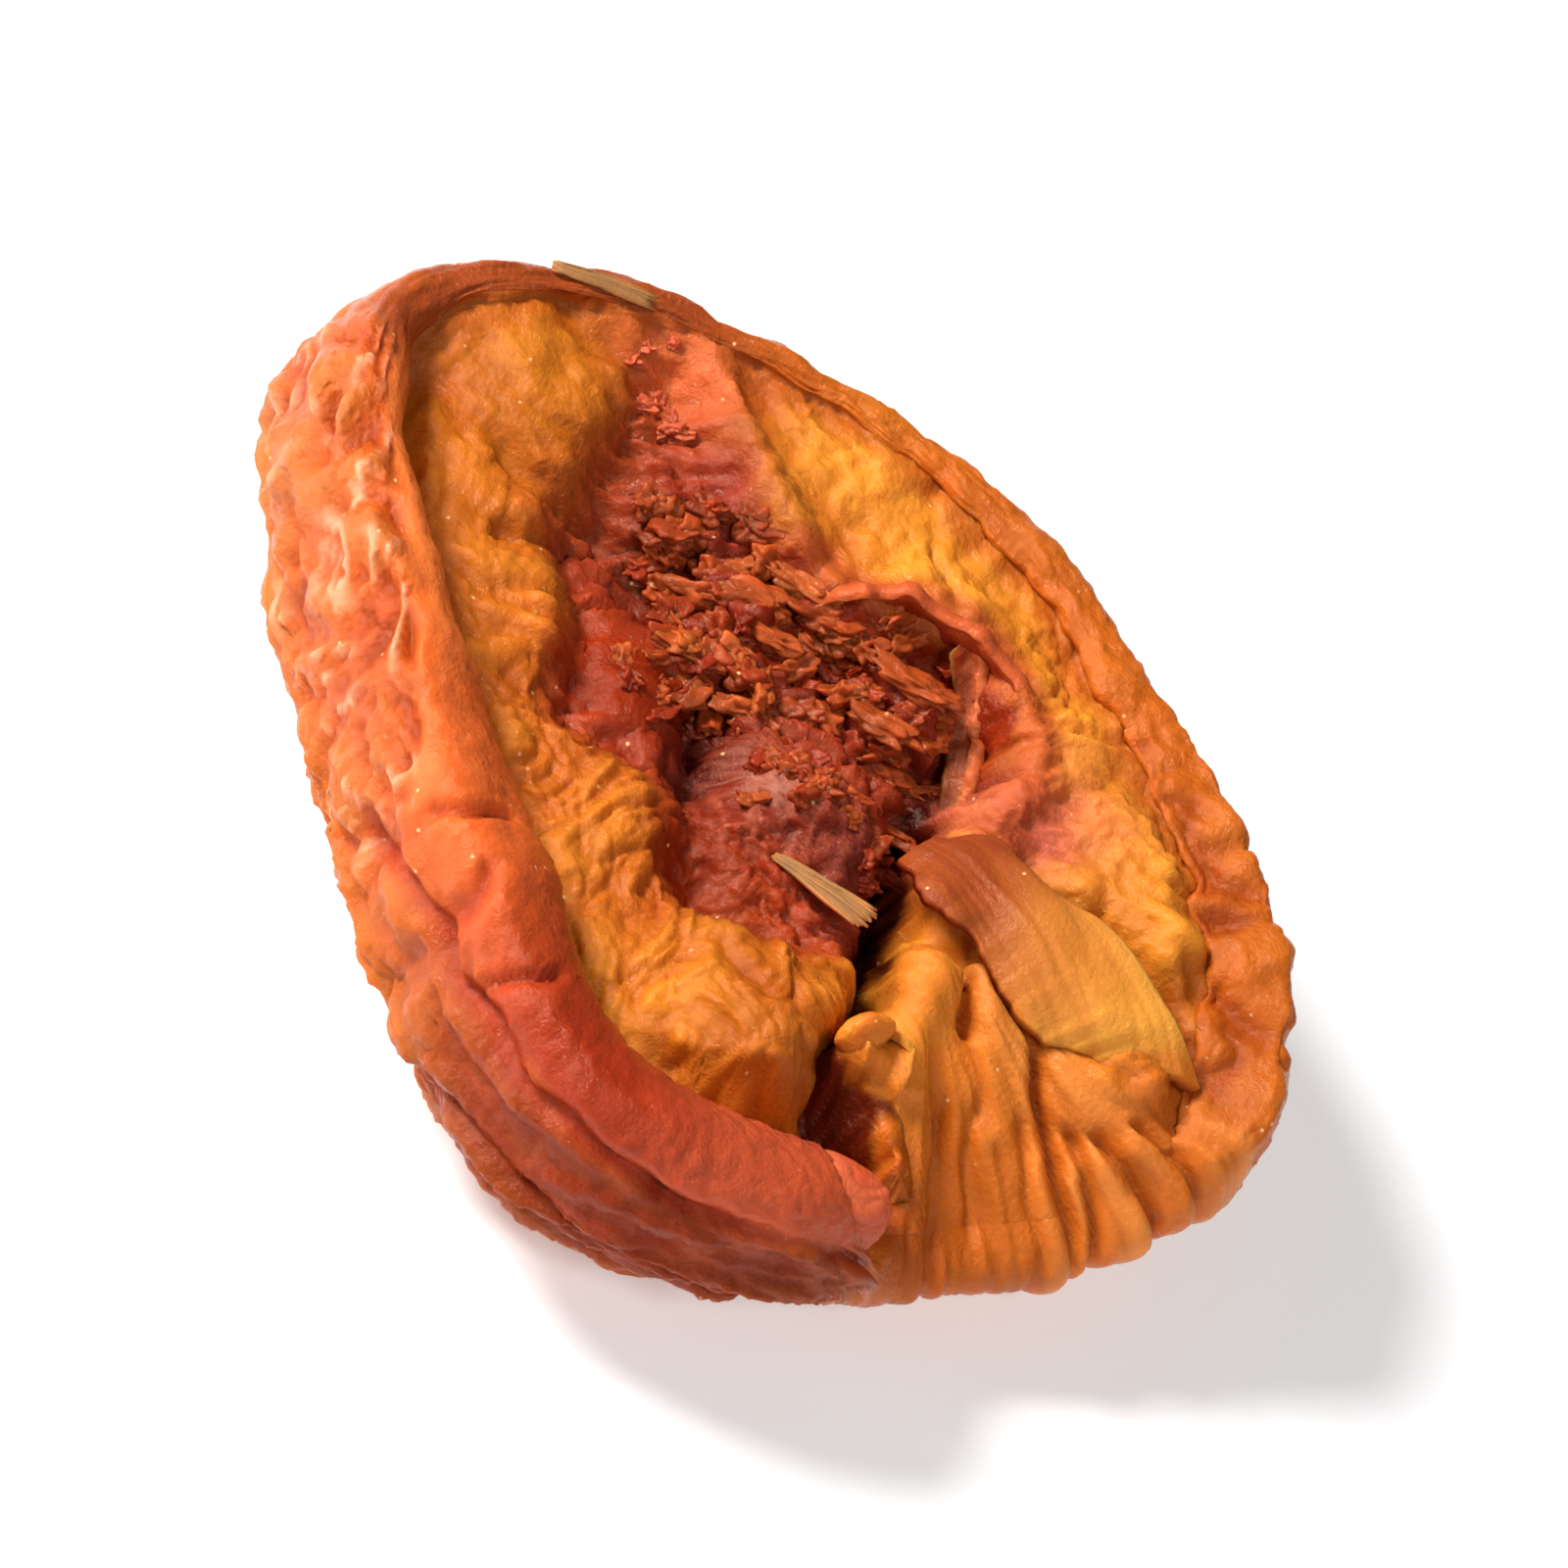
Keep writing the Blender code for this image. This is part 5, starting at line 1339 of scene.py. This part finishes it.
def ribbon(name, edge, foot, rows, columns, thick, hollow, ragged, seed):
    """A standing sheet from foot to edge: hollow is how far its face curves back, away from the pit."""
    low_edge, high_edge = along_path(foot, rows), along_path(edge, rows)
    run = np.linspace(0.0, 1.0, rows)
    rise = np.linspace(0.0, 1.0, columns)[None, :, None]
    high_edge[:, 2] += ragged * swell(with_height(run * EDGE_RUN, 0 * run, seed), 1.2)
    face = low_edge[:, None] * (1.0 - rise) + high_edge[:, None] * rise
    way = np.gradient(high_edge, axis=0)
    back = np.column_stack([-way[:, 1], way[:, 0], 0 * run]) / np.hypot(way[:, 0], way[:, 1])[:, None]
    bulges = swell(face.reshape(-1, 3), 1.6, seed).reshape(rows, columns)
    curve = hollow * np.sin(math.pi * rise[..., 0]) + 0.25 * bulges
    face = face + back[:, None] * curve[..., None]
    wrinkle = 0.12 * (puffs(face.reshape(-1, 3), (1.4, 1.4, 0.6), seed).reshape(rows, columns) - 0.4)
    face = face + back[:, None] * wrinkle[..., None] + LIFT
    behind = face + back[:, None] * (thick[1] + (thick[0] - thick[1]) * (1.0 - rise))
    return closed_strip(name, face, behind), rise, run


def ribbon_colours(rise, run, wall, rim, end):
    """Colours of both sides of a ribbon: its wall, its edge, and its last third."""
    rows, columns = len(run), rise.shape[1]
    share_up = np.tile(rise[0, :, 0], rows)
    share_on = np.repeat(run, columns)
    colours = np.tile(np.array(wall), (rows * columns, 1))
    colours = paint(colours, end, soft_step(0.45, 0.75, share_on))
    colours = paint(colours, rim, soft_step(0.80, 0.97, share_up))
    # Painted shade: the ribbon is darker towards its foot
    colours = colours * (0.45 + 0.55 * soft_step(0.15, 0.8, share_up))[:, None]
    return np.vstack([colours, paint(colours, rim, 0.6 + 0 * share_up)])


lip_mesh, rise, run = ribbon(
    "lip", LIP_EDGE, LIP_FOOT, rows=110, columns=30, thick=(2.0, 0.9), hollow=0.8, ragged=0.35, seed=3.0
)
lip_tint = ribbon_colours(rise, run, (0.38, 0.026, 0.008), (0.56, 0.098, 0.024), (0.56, 0.090, 0.018))
point_mesh, rise, run = ribbon(
    "point", POINT_EDGE, POINT_FOOT, rows=70, columns=16, thick=(1.1, 0.6), hollow=0.4, ragged=0.3, seed=9.0
)
point_tint = ribbon_colours(rise, run, (0.50, 0.080, 0.018), (0.60, 0.130, 0.034), (0.52, 0.090, 0.022))
for mesh, colours in ((lip_mesh, lip_tint), (point_mesh, point_tint)):
    store(mesh, np.clip(colours, 0.0, BRIGHTEST), wrinkle=-0.05)
    mesh.materials.append(torn_finish)
    add_piece(mesh.name, mesh)
print("lip and point:", len(lip_mesh.polygons) + len(point_mesh.polygons), "faces")

# %% [markdown]
# ## Splinters
#
# Two straw-like slivers are left: one lies on the rim behind the tip, the other stands over the cleft. They
# are bits of the hard bundles that fed the stone, so each is made as a bundle of thin tubes that lie side
# by side and spread a little towards the torn end.

# %% Bundles of fibres
TUBE_ROWS, TUBE_SIDES = 14, 8
FIBRES = 13


def fibre(start, end, radius, sag, phase):
    """A thin tube from start to end, thicker in the middle, with a slight wave."""
    t = np.linspace(0.0, 1.0, TUBE_ROWS)[:, None]
    way = (end - start) / np.linalg.norm(end - start)
    side = np.array([-way[1], way[0], 0.0]) / math.hypot(way[0], way[1])
    rise = np.cross(way, side)
    middle = start + (end - start) * t + rise * sag * np.sin(math.pi * t)
    middle = middle + side * 0.05 * np.sin(7.0 * t + phase)
    thin = radius * (0.45 + 0.55 * np.sin(math.pi * (0.12 + 0.8 * t)))
    around = np.linspace(0.0, 2 * math.pi, TUBE_SIDES, endpoint=False)
    circle = np.cos(around)[:, None] * side + np.sin(around)[:, None] * rise
    return (middle[:, None] + thin[:, None] * circle[None]).reshape(-1, 3)


tube_faces = [
    (r * TUBE_SIDES + k, r * TUBE_SIDES + (k + 1) % TUBE_SIDES,
     (r + 1) * TUBE_SIDES + (k + 1) % TUBE_SIDES, (r + 1) * TUBE_SIDES + k)
    for r in range(TUBE_ROWS - 1) for k in range(TUBE_SIDES)
]
last_row = (TUBE_ROWS - 1) * TUBE_SIDES
tube_faces += [tuple(range(TUBE_SIDES))[::-1], tuple(last_row + k for k in range(TUBE_SIDES))]
print("each fibre has", len(tube_faces), "faces")

# %% Two splinters
# Start, end, and width of the bundle at each
SPLINTERS = (
    ((-29.8, 5.9, 0.25), (-25.9, 9.9, 0.3), 0.6, 0.9),
    ((2.2, -0.3, -4.05), (8.1, 1.0, -2.3), 0.45, 1.7),
)
STRAW = (0.48, 0.165, 0.050)
for number, (start, end, near_width, far_width) in enumerate(SPLINTERS, 1):
    a, b = np.array(start) + LIFT, np.array(end) + LIFT
    side = np.array([-(b - a)[1], (b - a)[0], 0.0]) / np.linalg.norm(b - a)
    parts = []
    for k in range(FIBRES):
        share_over = k / (FIBRES - 1) - 0.5
        draw = picker.uniform(size=4)
        tip = b + side * share_over * far_width + (b - a) * (0.10 * draw[0] - 0.08) + (0, 0, 0.12 * draw[1])
        root = a + side * share_over * near_width + (b - a) * 0.10 * draw[2] + (0, 0, 0.08 * draw[1])
        shape = fibre(root, tip, 0.11 + 0.05 * draw[3], 0.10, 6.0 * draw[0])
        straw = np.array(STRAW) * (0.80 + 0.4 * draw[3])
        parts.append((shape, np.tile(straw, (len(shape), 1))))
    add_piece(f"splinter_{number}", joined_mesh(f"splinter_{number}", parts, tube_faces, straw_finish))
print("two splinters of", FIBRES, "fibres each")

# %% [markdown]
# ## The table
#
# The half lies on a plain white sheet. Its shadow there is pale, because a bright room lights it from all
# sides. A brighter surround could make it so, but would dull the fruit's own folds too. So the sheet glows
# a little itself, which lightens the shadow and warms the underside of the half.

# %% Lay the table
TABLE_REACH = 1.5
TABLE_GLOW = 0.30
floor_mesh = bpy.data.meshes.new("table")
corners = [(a * TABLE_REACH, b * TABLE_REACH, 0.0) for a, b in ((-1, -1), (1, -1), (1, 1), (-1, 1))]
floor_mesh.from_pydata(corners, [], [(0, 1, 2, 3)])
floor = bpy.data.objects.new("table", floor_mesh)
bpy.context.scene.collection.objects.link(floor)
paper, nodes, links = new_material("white_paper")
paper_shader = nodes["Principled BSDF"]
paper_place = add_node(nodes, "ShaderNodeTexCoord")
paper_noise = add_node(nodes, "ShaderNodeTexNoise", Scale=60.0, Detail=2.0)
paper_ramp = add_node(nodes, "ShaderNodeValToRGB")
paper_ramp.color_ramp.elements[0].color = (0.86, 0.86, 0.86, 1.0)
paper_ramp.color_ramp.elements[1].color = (0.90, 0.90, 0.895, 1.0)
links.new(paper_place.outputs["Object"], paper_noise.inputs["Vector"])
links.new(paper_noise.outputs["Fac"], paper_ramp.inputs["Fac"])
links.new(paper_ramp.outputs["Color"], paper_shader.inputs["Base Color"])
paper_shader.inputs["Roughness"].default_value = 0.85
paper_shader.inputs["Emission Color"].default_value = (1.0, 1.0, 1.0, 1.0)
paper_shader.inputs["Emission Strength"].default_value = TABLE_GLOW
floor_mesh.materials.append(paper)
print("table of", 2 * TABLE_REACH, "m laid at z = 0")

# %% [markdown]
# ## Camera
#
# The camera looks down on the cut face with the tip at the upper left and the stem end at the lower
# right. It stands well back with a long lens, so that the half keeps its true proportions. A camera could
# be turned by hand until it fits. It is easier to say how the half lies in the picture, and to turn that
# round into the way that the camera looks.

# %% Aim the camera
# In the picture's own axes, right, up and towards the viewer: where the cut face looks, leaning by TILT
# from the viewer in the direction SWING, and where the half's long way points
TILT, SWING = math.radians(42), math.radians(55)
cut_face_way = Vector((math.sin(TILT) * math.cos(SWING), math.sin(TILT) * math.sin(SWING), math.cos(TILT)))
long_x, long_y = 0.567, -0.825
long_z = -(cut_face_way.x * long_x + cut_face_way.y * long_y) / cut_face_way.z
long_way = Vector((long_x, long_y, long_z)).normalized()
cross_way = cut_face_way.cross(long_way)
right = Vector((long_way.x, cross_way.x, cut_face_way.x))
up = Vector((long_way.y, cross_way.y, cut_face_way.y))
towards = Vector((long_way.z, cross_way.z, cut_face_way.z))
VIEW_WIDTH = 0.0765  # metres across the picture, where the half lies
DISTANCE = 0.6
AIM_BELOW = 0.0006
aim = Vector((CENTRE[0] * MM, CENTRE[1] * MM, RIM_HEIGHT * MM)) - up * AIM_BELOW
lens = bpy.data.cameras.new("camera")
lens.sensor_width = 36.0
lens.lens = lens.sensor_width * DISTANCE / VIEW_WIDTH
lens.clip_start = 0.01
camera = bpy.data.objects.new("camera", lens)
facing = Matrix((right, up, towards)).transposed().to_4x4()
camera.matrix_world = Matrix.Translation(aim + towards * DISTANCE) @ facing
bpy.context.scene.collection.objects.link(camera)
bpy.context.scene.camera = camera
print("lens of", round(lens.lens), "mm")

# %% [markdown]
# ## Light
#
# The light is a window's, from the upper left and behind. The fruit is moist, so each lamp also shows in it
# as a glint. A large bright lamp would lay a milky film over every fold that mirrors it, while small ones
# make small wet glints. So the lamps are small: the window, a weak one at the side, and a reflector near
# the camera that opens the shadows. The surround is dim for the same reason.

# %% Light the half
SURROUND = 0.15


def lamp(name, way, energy, size, distance=0.6):
    """A round lamp that looks at the half from a given way, its energy in watts and its size in metres."""
    data = bpy.data.lights.new(name, "AREA")
    data.shape = "DISK"
    data.size = size
    data.energy = energy
    made = bpy.data.objects.new(name, data)
    way = Vector(way).normalized()
    made.location = way * distance
    made.rotation_mode = "QUATERNION"
    made.rotation_quaternion = way.to_track_quat("Z", "Y")
    bpy.context.scene.collection.objects.link(made)


lamp("window", right * -0.42 + up * 0.85 + towards * 0.62, 5.2, 0.20)
lamp("side_window", right * -0.90 + up * 0.30 + towards * 0.50, 0.90, 0.16)
lamp("reflector", right * 0.35 - up * 0.05 + towards * 1.0, 1.1, 0.14)
surround = bpy.data.worlds.new("surround")
surround.use_nodes = True
background = surround.node_tree.nodes["Background"]
background.inputs["Color"].default_value = (1.0, 1.0, 1.0, 1.0)
background.inputs["Strength"].default_value = SURROUND
bpy.context.scene.world = surround
bpy.context.scene.view_settings.view_transform = "Standard"
print("lamps lit:", len(bpy.data.lights))
